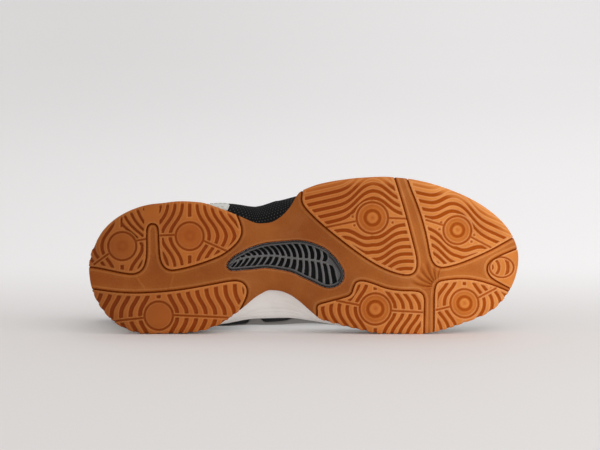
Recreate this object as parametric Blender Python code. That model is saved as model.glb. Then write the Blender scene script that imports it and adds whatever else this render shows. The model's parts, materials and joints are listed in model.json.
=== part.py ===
"""Right-foot indoor court shoe, lying on its medial side.

The shoe is shaped in its own frame, in millimetres: x runs from heel to toe, +y is the medial side and z
is up from the ground. A place on its loop is u, from the heel round the lateral side, the toe and the
medial side. The finished pieces hang on one empty that lays the shoe down, toe at +X, sole facing -Y.
"""

import bisect
import math
from collections import namedtuple

import bmesh
import bpy
from mathutils import Matrix, Vector

MM = 0.001
WELD = 0.00001
FLAT_ENOUGH = math.radians(0.5)
SIDEWAYS = 0.8

# Driving sizes, millimetres
SOLE_LENGTH = 292.0
BALL_WIDTH = 106.0
INSTEP_HEIGHT = 103.0
WALL = 2.2
COLLAR_WALL = 6.5
GAP = 0.35

# Plan of the sole
HEEL_ROUND = 46.0
TOE_ROUND = 75.0
MIDDLE_AT_HEEL = 5.0
MIDDLE_AT_TOE = -2.5
FOOT_BACK = 5.5
FOOT_FRONT = 286.5
SPINE_BACK = 34.0
SPINE_FRONT = 248.0

# Heights of the sole
RUBBER = 4.6
LUG = 2.0
RIM = 1.0
RIM_WIDTH = 2.2
RIM_ROUND = 0.7
EDGE_ROLL = 8.0
EDGE_TURN = 2.5
EDGE_LIFT = 1.6
LUG_INSET = 0.7
LUG_ROOT = 1.3
HEEL_BEVEL = 24.0
HEEL_BEVEL_RISE = 4.0
ARCH_BACK = 92.0
ARCH_FRONT = 158.0
ARCH_RISE = 3.0
TOE_BREAK = 216.0
TOE_SPRING = 13.0
BUMPER_BACK = 258.0
BUMPER_RISE = 3.0
LIP = 6.0
LIP_WALL = 1.9
LIP_DEEP = 2.0
SIDE_GROOVE = 0.9
INSOLE = 4.0
INSOLE_DISH = 1.0
INSOLE_PLAY = 1.0

# Overlays, lace and tongue
OVERLAY = 1.0
OVERLAY_GAP = 0.5
EYESTAY_GAP = 0.9
LACE_RADIUS = 1.7
LACE_CLEAR = 1.0
LACE_ROWS = 5
LACE_FIRST = 20.6
LACE_LAST = 16.9
LACE_INSET = 0.955
LACE_RISE = 5.2
LACE_TURN = 0.13
LACE_OVER = 0.4
LACE_STAGGER = 0.12
LACE_AWAY = Vector((0.45, 0.0, 0.89))
LACE_STEPS = 4
LACE_SIDES = 6
TONGUE_WALL = 5.0
TONGUE_STEPS = 10

# How finely the pieces are cut
LOOP = 64
CROWDING = 0.4
RIBS = 10
OVERLAY_RIBS = 5

Edge = namedtuple("Edge", "at lateral medial")
Stack = namedtuple("Stack", "at height")
Section = namedtuple("Section", "at top_x top_half top_z lean swell_lateral swell_medial")
Border = namedtuple("Border", "at low high")
Leaf = namedtuple("Leaf", "at middle half")
Tongue = namedtuple("Tongue", "at x z half crown")
Row = namedtuple("Row", "share inset level lift")

# Half widths from the middle line, as shares of the ball width, at shares of the sole length
RUBBER_EDGE = (
    Edge(0.070, 0.399, 0.437),
    Edge(0.164, 0.409, 0.423),
    Edge(0.210, 0.419, 0.425),
    Edge(0.257, 0.409, 0.415),
    Edge(0.304, 0.367, 0.374),
    Edge(0.351, 0.312, 0.287),
    Edge(0.398, 0.264, 0.188),
    Edge(0.421, 0.268, 0.163),
    Edge(0.445, 0.300, 0.171),
    Edge(0.468, 0.362, 0.198),
    Edge(0.491, 0.457, 0.245),
    Edge(0.515, 0.487, 0.306),
    Edge(0.538, 0.506, 0.358),
    Edge(0.585, 0.527, 0.400),
    Edge(0.632, 0.538, 0.435),
    Edge(0.678, 0.541, 0.462),
    Edge(0.725, 0.531, 0.466),
    Edge(0.772, 0.510, 0.475),
    Edge(0.865, 0.475, 0.470),
    Edge(0.983, 0.453, 0.525),
)
FOOT_EDGE = (
    Edge(0.050, 0.345, 0.345),
    Edge(0.200, 0.345, 0.350),
    Edge(0.300, 0.315, 0.335),
    Edge(0.390, 0.245, 0.300),
    Edge(0.460, 0.288, 0.305),
    Edge(0.520, 0.372, 0.335),
    Edge(0.600, 0.445, 0.380),
    Edge(0.690, 0.475, 0.405),
    Edge(0.780, 0.462, 0.412),
    Edge(0.870, 0.430, 0.425),
    Edge(0.970, 0.420, 0.450),
)

# Height of the sole under the upper's edge, millimetres over the tread
SOLE_STACK = (
    Stack(0.05, 24.0),
    Stack(0.25, 24.0),
    Stack(0.42, 21.0),
    Stack(0.68, 15.0),
    Stack(0.98, 13.0),
)

# Sections of the upper at shares of the way from heel to toe: the top end of each rib as shares of the sole
# length, the ball width and the instep height, its lean in degrees and how far its foot swells, millimetres
SECTIONS = (
    Section(0.000, 0.031, 0.000, 0.970, 6.0, 6.0, 6.0),
    Section(0.100, 0.045, 0.142, 0.960, 6.0, 6.0, 6.0),
    Section(0.200, 0.110, 0.250, 0.874, 8.0, 6.0, 4.0),
    Section(0.300, 0.226, 0.288, 0.718, 12.0, 13.0, 3.0),
    Section(0.380, 0.336, 0.283, 0.777, 16.0, 26.0, 6.0),
    Section(0.440, 0.408, 0.255, 0.922, 21.0, 30.0, 9.0),
    Section(0.475, 0.445, 0.208, 1.000, 33.0, 32.0, 9.0),
    Section(0.520, 0.507, 0.175, 0.918, 44.0, 20.0, 6.0),
    Section(0.600, 0.620, 0.137, 0.748, 55.0, 8.0, 2.0),
    Section(0.640, 0.671, 0.099, 0.675, 67.0, 4.0, 1.0),
    Section(0.655, 0.688, 0.000, 0.662, 90.0, 4.0, 1.0),
    Section(0.750, 0.767, 0.000, 0.597, 90.0, 3.0, 0.5),
    Section(0.850, 0.832, 0.000, 0.543, 90.0, 2.5, 0.5),
    Section(1.000, 0.877, 0.000, 0.505, 90.0, 2.0, 2.0),
)
RIB_RISE = 0.42
RIB_REACH = 0.36
RIDGE_SLOPE = 0.30

# Padding of the collar: shares of each rib, and of the way from heel to toe
PAD_LOW = 0.50
PAD_FULL = 0.85
PAD_FRONT = 0.42
PAD_FADE = 0.06

# Where the overlays start and end on the lateral half of the loop, in loop steps; the medial half mirrors
TOE_GUARD_BACK = 26
COUNTER_LATERAL_FRONT = 11
COUNTER_MEDIAL_FRONT = 7
QUARTER_BACK = 8
QUARTER_FRONT = 19
EYESTAY_BACK = 15
EYESTAY_FRONT = 25

# Overlay borders: shares of each rib, at shares of the way from heel to toe
TOE_GUARD = (
    Border(0.70, 0.22, 0.30),
    Border(0.80, 0.20, 0.36),
    Border(0.90, 0.21, 0.50),
    Border(1.00, 0.22, 0.58),
)
COUNTER_LATERAL = (
    Border(0.00, 0.11, 0.66),
    Border(0.15, 0.11, 0.58),
    Border(0.30, 0.11, 0.34),
    Border(0.40, 0.11, 0.20),
)
COUNTER_MEDIAL = (
    Border(0.00, 0.11, 0.66),
    Border(0.15, 0.11, 0.56),
    Border(0.30, 0.11, 0.34),
)
QUARTER_MEDIAL = (
    Border(0.30, 0.12, 0.42),
    Border(0.38, 0.12, 0.60),
    Border(0.46, 0.12, 0.72),
    Border(0.54, 0.12, 0.70),
    Border(0.60, 0.13, 0.40),
)
EYESTAY = (
    Border(0.45, 0.80, 0.985),
    Border(0.58, 0.77, 0.985),
    Border(0.62, 0.77, 1.0),
    Border(0.655, 0.79, 1.0),
    Border(0.72, 0.90, 1.0),
)

# Centre line of the tongue, from under the vamp to its top, millimetres
TONGUE = (
    Tongue(0.00, 208.0, 53.0, 20.0, 28.0),
    Tongue(0.20, 186.0, 67.5, 24.0, 29.0),
    Tongue(0.45, 158.0, 81.5, 27.0, 32.0),
    Tongue(0.70, 132.0, 96.0, 25.0, 38.0),
    Tongue(0.85, 119.0, 106.0, 23.5, 46.0),
    Tongue(1.00, 106.0, 117.5, 27.0, 64.0),
)

# Window of the shank in the arch: middle line and half width, at places along the sole, millimetres
SHANK = (
    Leaf(93.5, 2.5, 5.0),
    Leaf(100.0, 0.5, 5.6),
    Leaf(110.0, -2.5, 7.6),
    Leaf(122.0, -4.6, 8.8),
    Leaf(136.0, -4.0, 10.6),
    Leaf(148.0, -1.0, 13.0),
    Leaf(158.0, 3.2, 13.6),
    Leaf(167.0, 7.0, 11.5),
    Leaf(173.5, 9.0, 10.0),
)
LEAF_BACK_ROUND = 8.0
LEAF_FRONT_ROUND = 12.0
LEAF_CORNERS = 44
SHANK_FACE = LUG + 0.5
SHANK_FLOOR = LUG + 1.5
SHANK_RIM = 2.2

# Main lugs of the tread: corners in millimetres, those past the edge of the rubber trimmed by it
POD_ROUND = 1.5
BELOW = -10.0
ABOVE = 40.0
PODS = {
    "heel_lateral": ((-10, 1), (16.5, 5.6), (29, 7.8), (36, 4), (38.7, -4), (38.9, -20), (41, -26),
                     (45.4, -26), (47.8, -20), (48.3, -5), (51, 3), (57, 5.3), (72, 2), (88, -3.6),
                     (98, -11), (103.8, -20.5), (99, -34), (97, -50), (-10, -50)),
    "heel_medial": ((-10, 18), (20, 21), (37, 21.5), (60, 20), (83, 16), (100, 13.5), (107, 18), (106, 26),
                    (100, 60), (-10, 60)),
    "fore_lateral_rear": ((140, -70), (145, -40), (158, -26), (175, -12), (190, -1), (202, 5.5), (217, 9),
                          (222, 6), (222, -2), (219, -14), (214, -36), (205, -70)),
    "fore_lateral_front": ((214, -70), (225, -36), (229.5, -19), (232, -5.5), (235, 1.5), (240, 3.5),
                           (254, 0), (272.5, -8), (305, -22), (305, -70)),
    "fore_medial_rear": ((152, 60), (155, 34), (156, 29), (178, 24), (180.5, 15), (185, 13), (193, 15.5),
                         (202, 19), (223, 20.5), (227, 25), (226.5, 60)),
    "fore_medial_front": ((234.5, 60), (235, 17), (237.5, 13.5), (252, 12), (267.5, 14), (305, 26),
                          (305, 60)),
    "toe": ((305, -13), (276, -2), (271, 2), (272.5, 8), (277.5, 12.5), (305, 23)),
}


def srgb(red, green, blue):
    """Linear colour of a 0-255 screen colour."""
    linear = []
    for value in (red, green, blue):
        share = value / 255.0
        linear.append(share / 12.92 if share <= 0.04045 else ((share + 0.055) / 1.055) ** 2.4)
    return (*linear, 1.0)


Finish = namedtuple("Finish", "colour roughness")
FINISHES = {
    "outsole": Finish(srgb(176, 104, 46), 0.55),
    "shank_plate": Finish(srgb(106, 104, 102), 0.40),
    "midsole": Finish(srgb(206, 199, 193), 0.60),
    "upper": Finish(srgb(26, 26, 27), 0.85),
    "insole": Finish(srgb(40, 40, 42), 0.90),
    "tongue": Finish(srgb(30, 30, 31), 0.85),
    "toe_guard": Finish(srgb(92, 87, 82), 0.55),
    "heel_counter": Finish(srgb(168, 169, 162), 0.50),
    "quarter_medial": Finish(srgb(96, 90, 84), 0.55),
    "eyestay": Finish(srgb(34, 34, 35), 0.60),
    "lace": Finish(srgb(32, 32, 33), 0.90),
}


def smooth(rows, column, at):
    """One column of a table at a place, by a cubic that never overshoots its rows."""
    places = [row.at for row in rows]
    values = [getattr(row, column) for row in rows]
    if at <= places[0]:
        return values[0]
    if at >= places[-1]:
        return values[-1]

    def slope(index):
        if index == 0 or index == len(rows) - 1:
            return 0.0
        before = (values[index] - values[index - 1]) / (places[index] - places[index - 1])
        after = (values[index + 1] - values[index]) / (places[index + 1] - places[index])
        if before * after <= 0.0:
            return 0.0
        return 2.0 * before * after / (before + after)

    left = bisect.bisect_right(places, at) - 1
    span = places[left + 1] - places[left]
    s = (at - places[left]) / span
    from_left = (1 + 2 * s) * (1 - s) ** 2 * values[left] + s * (1 - s) ** 2 * span * slope(left)
    from_right = s * s * (3 - 2 * s) * values[left + 1] + s * s * (s - 1) * span * slope(left + 1)
    return from_left + from_right


def along(u):
    """Side (-1 lateral, 1 medial) and share of the way to the toe of a place; places crowd at the waist."""
    u = u % 1.0
    side = -1 if u <= 0.5 else 1
    share = min(2.0 * u, 2.0 - 2.0 * u)
    return side, share + CROWDING * math.sin(2.0 * math.pi * share) / (2.0 * math.pi)


def middle(x):
    """Where the middle line of the sole runs."""
    return MIDDLE_AT_HEEL + (MIDDLE_AT_TOE - MIDDLE_AT_HEEL) * x / SOLE_LENGTH


def rounded(x, back, front, back_round, front_round):
    """How much of its width an outline keeps near its round ends."""
    heel = max(0.0, 1.0 - (x - back) / back_round)
    toe = max(0.0, 1.0 - (front - x) / front_round)
    return math.sqrt(max(0.0, 1.0 - heel * heel)) * math.sqrt(max(0.0, 1.0 - toe * toe))


def edge(u, rows, back, front):
    """A place on an outline seen from above."""
    side, share = along(u)
    x = back + (front - back) * (1.0 - math.cos(math.pi * share)) / 2.0
    half = smooth(rows, "medial" if side > 0 else "lateral", x / SOLE_LENGTH) * BALL_WIDTH
    half *= rounded(x, back, front, HEEL_ROUND, TOE_ROUND)
    return Vector((x, middle(x) + side * half, 0.0))


def rubber_edge(u):
    """The outline of the rubber."""
    return edge(u, RUBBER_EDGE, 0.0, SOLE_LENGTH)


def foot_edge(u):
    """The outline of the upper where it meets the sole."""
    return edge(u, FOOT_EDGE, FOOT_BACK, FOOT_FRONT)


def outward(u, outline):
    """Level direction out of an outline."""
    step = 0.002
    run = outline(u + step) - outline(u - step)
    return Vector((run.y, -run.x, 0.0)).normalized()


def tread(x):
    """Height of the walking surface: heel bevel, arch and toe spring."""
    heel = max(0.0, 1.0 - x / HEEL_BEVEL)
    toe = max(0.0, (x - TOE_BREAK) / (SOLE_LENGTH - TOE_BREAK))
    arch = min(1.0, max(0.0, (x - ARCH_BACK) / (ARCH_FRONT - ARCH_BACK)))
    return HEEL_BEVEL_RISE * heel ** 2 + ARCH_RISE * math.sin(math.pi * arch) ** 2 + TOE_SPRING * toe ** 2


def deck(x):
    """Top of the rubber inside its rim."""
    return tread(x) + RUBBER


def rim(x):
    """Top of the rubber's rim, higher round the toe."""
    bumper = max(0.0, (x - BUMPER_BACK) / (SOLE_LENGTH - BUMPER_BACK))
    return deck(x) + RIM + BUMPER_RISE * bumper ** 1.5


def feather(x):
    """Height where the upper stands on the sole."""
    return tread(x) + smooth(SOLE_STACK, "height", x / SOLE_LENGTH)


def upper_point(u, v):
    """A place on the outside of the upper, v from its foot to its top line."""
    side, share = along(u)
    foot = foot_edge(u)
    foot.z = feather(foot.x)
    out = outward(u, foot_edge)
    top_x = smooth(SECTIONS, "top_x", share) * SOLE_LENGTH
    half = smooth(SECTIONS, "top_half", share) * BALL_WIDTH
    top = Vector((top_x, middle(top_x) + side * half, smooth(SECTIONS, "top_z", share) * INSTEP_HEIGHT))
    lean = math.radians(smooth(SECTIONS, "lean", share))
    swell = smooth(SECTIONS, "swell_medial" if side > 0 else "swell_lateral", share)
    up = Vector((0.0, 0.0, 1.0))
    low = foot + up * RIB_RISE * (top.z - foot.z) + out * swell
    fall = math.cos(lean) + RIDGE_SLOPE * out.x * math.sin(lean) ** 4
    high = top + (out * math.sin(lean) - up * fall) * RIB_REACH * (top - foot).length
    w = 1.0 - v
    return foot * w ** 3 + low * 3.0 * v * w * w + high * 3.0 * v * v * w + top * v ** 3


def upper_skin(u, v, off):
    """A place off the outside of the upper, along its own normal."""
    step = 0.0004
    v_in = min(max(v, step), 1.0 - step)
    run = upper_point(u + step, v_in) - upper_point(u - step, v_in)
    climb = upper_point(u, v_in + step) - upper_point(u, v_in - step)
    return upper_point(u, v) + run.cross(climb).normalized() * off


def lip_share(u):
    """Share of a rib that the lip of the midsole covers."""
    low = upper_point(u, 0.0).z
    rise = (upper_point(u, 0.05).z - low) / 0.05
    return LIP / rise


def add_sheet(bm, columns, rows, place):
    """Lays a grid over a surface: place takes two shares and returns millimetres."""
    grid = bmesh.ops.create_grid(bm, x_segments=columns, y_segments=rows, size=0.5)
    for vert in grid["verts"]:
        a = round((vert.co.x + 0.5) * columns) / columns
        b = round((vert.co.y + 0.5) * rows) / rows
        vert.co = place(a, b) * MM
    return grid["verts"]


def new_piece(name, bm, flat=True):
    """Makes an object of the bmesh, with its seams welded and, for a join or cut, every face flat."""
    bmesh.ops.remove_doubles(bm, verts=bm.verts, dist=WELD)
    bmesh.ops.dissolve_degenerate(bm, edges=bm.edges, dist=WELD)
    if flat:
        bmesh.ops.triangulate(bm, faces=bm.faces)
    mesh = bpy.data.meshes.new(name)
    bm.to_mesh(mesh)
    bm.free()
    piece = bpy.data.objects.new(name, mesh)
    bpy.context.scene.collection.objects.link(piece)
    return piece


def bake(piece):
    """Replaces a piece's mesh by what its modifiers make of it."""
    solid = bpy.data.meshes.new_from_object(piece.evaluated_get(bpy.context.evaluated_depsgraph_get()))
    piece.modifiers.clear()
    piece.data = solid


def thicken(piece, thickness, offset):
    """Turns a sheet into a shell, inward for offset -1 and outward for 1."""
    shell = piece.modifiers.new("shell", "SOLIDIFY")
    shell.thickness = thickness * MM
    shell.offset = offset
    if "wall" in piece.vertex_groups:
        shell.vertex_group = "wall"
    bake(piece)


def combine(piece, tools, operation):
    """Joins, cuts or trims a piece with tools, which are then removed."""
    group = bpy.data.collections.new("tools")
    for tool in tools:
        group.objects.link(tool)
    join = piece.modifiers.new("join", "BOOLEAN")
    join.operation = operation
    join.solver = "EXACT"
    join.operand_type = "COLLECTION"
    join.collection = group
    bake(piece)
    for tool in tools:
        bpy.data.objects.remove(tool)
    bpy.data.collections.remove(group)


def even(piece):
    """Joins the flat scraps that cuts leave on a piece."""
    bm = bmesh.new()
    bm.from_mesh(piece.data)
    bmesh.ops.dissolve_limit(bm, angle_limit=FLAT_ENOUGH, verts=bm.verts, edges=bm.edges)
    bmesh.ops.triangulate(bm, faces=bm.faces)
    bm.to_mesh(piece.data)
    bm.free()


def inside(u, outline, spine, inset, share):
    """A place between the spine of a plate and its outline moved in by an inset."""
    rim_point = outline(u)
    return spine(rim_point.x).lerp(rim_point - outward(u, outline) * inset, share)


def sole_spine(x):
    """The line that the plates of the sole close on."""
    x = min(max(x, SPINE_BACK), SPINE_FRONT)
    return Vector((x, middle(x), 0.0))


def plate_point(u, row):
    """A place on a row of a plate that follows the rubber's outline."""
    point = inside(u, rubber_edge, sole_spine, row.inset, row.share)
    point.z = row.level(point.x) + row.lift
    return point


def plate(name, rows):
    """A closed plate lofted through rows from the middle of its underside to the middle of its top."""
    bm = bmesh.new()
    add_sheet(bm, LOOP, len(rows) - 1, lambda a, b: plate_point(a, rows[round(b * (len(rows) - 1))]))
    return new_piece(name, bm)


def add_prism(bm, corners, low, high, rounding):
    """Adds an upright prism on a plan outline, its corners rounded."""
    verts = [bm.verts.new((x * MM, y * MM, low * MM)) for x, y in corners]
    face = bm.faces.new(verts)
    if rounding > 0.0:
        rounds = bmesh.ops.bevel(bm, geom=verts, offset=rounding * MM, segments=2, profile=0.5,
                                 affect="VERTICES")
        face = next(other for other in rounds["verts"][0].link_faces if len(other.verts) > len(corners))
    raised = bmesh.ops.extrude_face_region(bm, geom=[face])["geom"]
    top = [item for item in raised if isinstance(item, bmesh.types.BMVert)]
    bmesh.ops.translate(bm, verts=top, vec=Vector((0.0, 0.0, (high - low) * MM)))


def prisms(name, outlines, low, high, rounding):
    """Upright prisms on separate plan outlines, as one piece."""
    bm = bmesh.new()
    for corners in outlines:
        add_prism(bm, corners, low, high, rounding)
    bmesh.ops.recalc_face_normals(bm, faces=bm.faces)
    return new_piece(name, bm)


def leaf_edge(u):
    """The outline of the shank's window."""
    side, share = along(u)
    back = SHANK[0].at
    front = SHANK[-1].at
    x = back + (front - back) * (1.0 - math.cos(math.pi * share)) / 2.0
    half = smooth(SHANK, "half", x) * rounded(x, back, front, LEAF_BACK_ROUND, LEAF_FRONT_ROUND)
    return Vector((x, smooth(SHANK, "middle", x) + side * half, 0.0))


def leaf_spine(x):
    """The vein of the shank."""
    x = min(max(x, SHANK[0].at + LEAF_BACK_ROUND), SHANK[-1].at - LEAF_FRONT_ROUND)
    return Vector((x, smooth(SHANK, "middle", x), 0.0))


def build_outsole():
    """Rubber plate with a rim, its tread pods and the window of the shank."""
    rim_inside = RIM_WIDTH + 0.2
    outsole = plate("outsole", (
        Row(0.0, 0.0, tread, LUG),
        Row(0.55, 0.0, tread, LUG),
        Row(1.0, EDGE_ROLL, tread, LUG),
        Row(1.0, EDGE_TURN, tread, LUG + 0.3 * EDGE_LIFT),
        Row(1.0, 0.0, tread, LUG + EDGE_LIFT),
        Row(1.0, 0.2, rim, -RIM_ROUND),
        Row(1.0, RIM_ROUND, rim, 0.0),
        Row(1.0, RIM_WIDTH, rim, 0.0),
        Row(1.0, rim_inside, deck, 0.0),
        Row(0.5, rim_inside, deck, 0.0),
        Row(0.0, rim_inside, deck, 0.0),
    ))
    lugs = plate("lugs", (
        Row(0.0, 0.0, tread, 0.0),
        Row(0.5, 0.0, tread, 0.0),
        Row(1.0, EDGE_ROLL + LUG_INSET, tread, 0.0),
        Row(1.0, EDGE_TURN + LUG_INSET, tread, 0.4 * EDGE_LIFT),
        Row(1.0, LUG_INSET, tread, 1.5 * EDGE_LIFT),
        Row(1.0, 1.5 * LUG_INSET, tread, LUG + 1.5 * LUG_ROOT),
        Row(0.5, 1.5 * LUG_INSET, tread, LUG + LUG_ROOT),
        Row(0.0, 1.5 * LUG_INSET, tread, LUG + LUG_ROOT),
    ))
    combine(lugs, [prisms("pods", PODS.values(), BELOW, ABOVE, POD_ROUND)], "INTERSECT")
    combine(outsole, [lugs], "UNION")
    window = [leaf_edge(index / LEAF_CORNERS).xy for index in range(LEAF_CORNERS)]
    combine(outsole, [prisms("window", [window], BELOW, ABOVE, 0.0)], "DIFFERENCE")
    even(outsole)
    return outsole


def build_shank():
    """Leaf plate with a raised frame and vein, inside the window of the rubber."""
    rows = (
        Row(0.0, 0.0, tread, SHANK_FACE),
        Row(0.08, 0.0, tread, SHANK_FACE),
        Row(0.16, 0.0, tread, SHANK_FLOOR),
        Row(1.0, GAP + 1.2 * SHANK_RIM, tread, SHANK_FLOOR),
        Row(1.0, GAP + SHANK_RIM, tread, SHANK_FACE),
        Row(1.0, GAP, tread, SHANK_FACE),
        Row(1.0, GAP, tread, RUBBER),
        Row(0.0, GAP, tread, RUBBER),
    )

    def place(a, b):
        row = rows[round(b * (len(rows) - 1))]
        point = inside(a, leaf_edge, leaf_spine, row.inset, row.share)
        point.z = row.level(point.x) + row.lift
        return point

    bm = bmesh.new()
    add_sheet(bm, LEAF_CORNERS, len(rows) - 1, place)
    return new_piece("shank_plate", bm)


def midsole_side(u, share, groove):
    """A place on the midsole's side, from the rubber's rim to the foot of the upper."""
    low = plate_point(u, Row(1.0, RIM_ROUND, rim, GAP))
    foot = upper_skin(u, 0.0, GAP + LIP_WALL) - Vector((0.0, 0.0, LIP_DEEP))
    return low.lerp(foot, share) - outward(u, rubber_edge) * groove


def midsole_lip(u, share, wall):
    """A place on the lip that the midsole holds the upper with."""
    return upper_skin(u, lip_share(u) * share, GAP + wall)


def midsole_floor(u, share, lift):
    """A place on the top of the midsole, under the insole."""
    floor = inside(u, foot_edge, sole_spine, 0.0, share)
    floor.z = feather(floor.x) + lift
    return floor


def build_midsole():
    """Foam between rubber and upper, with a grooved side and a lip round the foot of the upper."""
    set_in = RIM_WIDTH + 2.0 * GAP
    rows = (
        lambda u: plate_point(u, Row(0.0, set_in, deck, GAP)),
        lambda u: plate_point(u, Row(0.55, set_in, deck, GAP)),
        lambda u: plate_point(u, Row(1.0, set_in, deck, GAP)),
        lambda u: plate_point(u, Row(1.0, set_in, rim, GAP)),
        lambda u: midsole_side(u, 0.0, 0.0),
        lambda u: midsole_side(u, 0.35, 0.0),
        lambda u: midsole_side(u, 0.45, SIDE_GROOVE),
        lambda u: midsole_side(u, 0.58, SIDE_GROOVE),
        lambda u: midsole_side(u, 0.68, 0.0),
        lambda u: midsole_side(u, 1.0, 0.0),
        lambda u: midsole_lip(u, 1.0, LIP_WALL),
        lambda u: midsole_lip(u, 1.0, 0.0),
        lambda u: midsole_lip(u, 0.5, 0.0),
        lambda u: midsole_lip(u, 0.0, 0.0),
        lambda u: midsole_floor(u, 0.9, -GAP),
        lambda u: midsole_floor(u, 0.5, -GAP),
        lambda u: midsole_floor(u, 0.0, -GAP),
    )
    bm = bmesh.new()
    add_sheet(bm, LOOP, len(rows) - 1, lambda a, b: rows[round(b * (len(rows) - 1))](a))
    return new_piece("midsole", bm)


def wall_share(u, v):
    """How much of the padded collar's wall the upper has at a place."""
    share = along(u)[1]
    rise = min(1.0, max(0.0, (v - PAD_LOW) / (PAD_FULL - PAD_LOW)))
    front = min(1.0, max(0.0, (PAD_FRONT - share) / PAD_FADE))
    pad = rise * rise * (3.0 - 2.0 * rise) * front
    return (WALL + (COLLAR_WALL - WALL) * pad) / COLLAR_WALL


def build_upper():
    """Hollow wall on ribs from the sole to the top line, padded at the collar."""
    bm = bmesh.new()
    walls = bm.verts.layers.deform.verify()
    verts = add_sheet(bm, LOOP, RIBS, lambda a, b: Vector((a, b, 0.0)))
    for vert in verts:
        u = vert.co.x / MM
        v = vert.co.y / MM
        vert[walls][0] = wall_share(u, v)
        vert.co = upper_point(u, v) * MM
    upper = new_piece("upper", bm, flat=False)
    upper.vertex_groups.new(name="wall")
    thicken(upper, COLLAR_WALL, -1.0)
    return upper


def build_overlay(name, gap, patches):
    """A shell on the upper, from patches of (first, last place on the loop in steps, border table)."""
    bm = bmesh.new()
    for first, last, borders in patches:
        def place(a, b, first=first, last=last, borders=borders):
            u = (first + (last - first) * a) / LOOP
            share = along(u)[1]
            low = smooth(borders, "low", share)
            high = smooth(borders, "high", share)
            return upper_skin(u, low + (high - low) * b, gap)
        add_sheet(bm, last - first, OVERLAY_RIBS, place)
    overlay = new_piece(name, bm, flat=False)
    thicken(overlay, OVERLAY, 1.0)
    return overlay


def build_insole():
    """Footbed inside the upper, dished on top."""
    dish = INSOLE - INSOLE_DISH
    rows = ((0.0, 0.0), (0.6, 0.0), (1.0, 0.0), (1.0, INSOLE), (0.6, dish), (0.0, dish))

    def place(a, b):
        share, lift = rows[round(b * (len(rows) - 1))]
        point = inside(a, foot_edge, sole_spine, WALL + INSOLE_PLAY, share)
        point.z = feather(point.x) + lift
        return point

    bm = bmesh.new()
    add_sheet(bm, LOOP, len(rows) - 1, place)
    return new_piece("insole", bm)


def tongue_point(a, b):
    """A place on the outside of the tongue."""
    step = 0.01
    x = smooth(TONGUE, "x", a)
    z = smooth(TONGUE, "z", a)
    run_x = smooth(TONGUE, "x", min(1.0, a + step)) - smooth(TONGUE, "x", max(0.0, a - step))
    run_z = smooth(TONGUE, "z", min(1.0, a + step)) - smooth(TONGUE, "z", max(0.0, a - step))
    length = math.hypot(run_x, run_z)
    crown = smooth(TONGUE, "crown", a)
    turn = (2.0 * b - 1.0) * smooth(TONGUE, "half", a) / crown
    drop = crown * (math.cos(turn) - 1.0)
    y = middle(x) + crown * math.sin(turn)
    return Vector((x + drop * run_z / length, y, z - drop * run_x / length))


def build_tongue():
    """Padded tongue under the throat."""
    bm = bmesh.new()
    add_sheet(bm, TONGUE_STEPS, TONGUE_STEPS, tongue_point)
    bmesh.ops.reverse_faces(bm, faces=bm.faces)
    tongue = new_piece("tongue", bm, flat=False)
    thicken(tongue, TONGUE_WALL, -1.0)
    return tongue


def lace_end(side, row):
    """Where the lace lies over an eyelet."""
    place = LACE_FIRST + (LACE_LAST - LACE_FIRST) * row / (LACE_ROWS - 1)
    u = place / LOOP if side < 0 else 1.0 - place / LOOP
    return upper_skin(u, LACE_INSET, EYESTAY_GAP + OVERLAY + LACE_CLEAR + LACE_RADIUS)


def crossing_point(start, end, rise, a):
    """A place on a crossing, which rises over both edges of the throat; places crowd near its ends."""
    a -= LACE_TURN * math.sin(2.0 * math.pi * a)
    return start.lerp(end, a) + LACE_AWAY * rise * (1.0 - (2.0 * a - 1.0) ** 4)


def crossing(name, start, end, rise):
    """A round cord between two eyelets."""
    def place(a, b):
        step = 0.01
        ahead = crossing_point(start, end, rise, a + step) - crossing_point(start, end, rise, a - step)
        ahead.normalize()
        side = ahead.cross(LACE_AWAY).normalized()
        turn = 2.0 * math.pi * b
        spoke = side * math.cos(turn) + side.cross(ahead) * math.sin(turn)
        return crossing_point(start, end, rise, a) + spoke * LACE_RADIUS

    bm = bmesh.new()
    add_sheet(bm, LACE_STEPS, LACE_SIDES, place)
    bmesh.ops.remove_doubles(bm, verts=bm.verts, dist=WELD)
    bmesh.ops.holes_fill(bm, edges=bm.edges, sides=LACE_SIDES)
    bmesh.ops.recalc_face_normals(bm, faces=bm.faces)
    return new_piece(name, bm)


def build_lace():
    """Crossings of the lace, joined where they meet."""
    lace = crossing("lace", lace_end(-1, 0), lace_end(1, 0), LACE_RISE)
    cords = []
    for row in range(LACE_ROWS - 1):
        for side in (-1, 1):
            rise = LACE_RISE + LACE_OVER * (side + 1) + LACE_STAGGER * row
            cords.append(crossing("crossing", lace_end(side, row), lace_end(-side, row + 1), rise))
    combine(lace, cords, "UNION")
    return lace


def finish(piece):
    """Gives a piece its own material."""
    look = FINISHES[piece.name]
    material = bpy.data.materials.new(piece.name)
    material.use_nodes = True
    shader = material.node_tree.nodes["Principled BSDF"]
    shader.inputs["Base Color"].default_value = look.colour
    shader.inputs["Roughness"].default_value = look.roughness
    shader.inputs["Metallic"].default_value = 0.0
    piece.data.materials.clear()
    piece.data.materials.append(material)


def centre_of(pieces):
    """Centre of the volume of all pieces."""
    volume = 0.0
    moment = Vector((0.0, 0.0, 0.0))
    for piece in pieces:
        piece.data.calc_loop_triangles()
        for triangle in piece.data.loop_triangles:
            one, two, three = (piece.data.vertices[index].co for index in triangle.vertices)
            part = one.dot(two.cross(three)) / 6.0
            volume += part
            moment += (one + two + three) * (part / 4.0)
    return moment / volume


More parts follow.
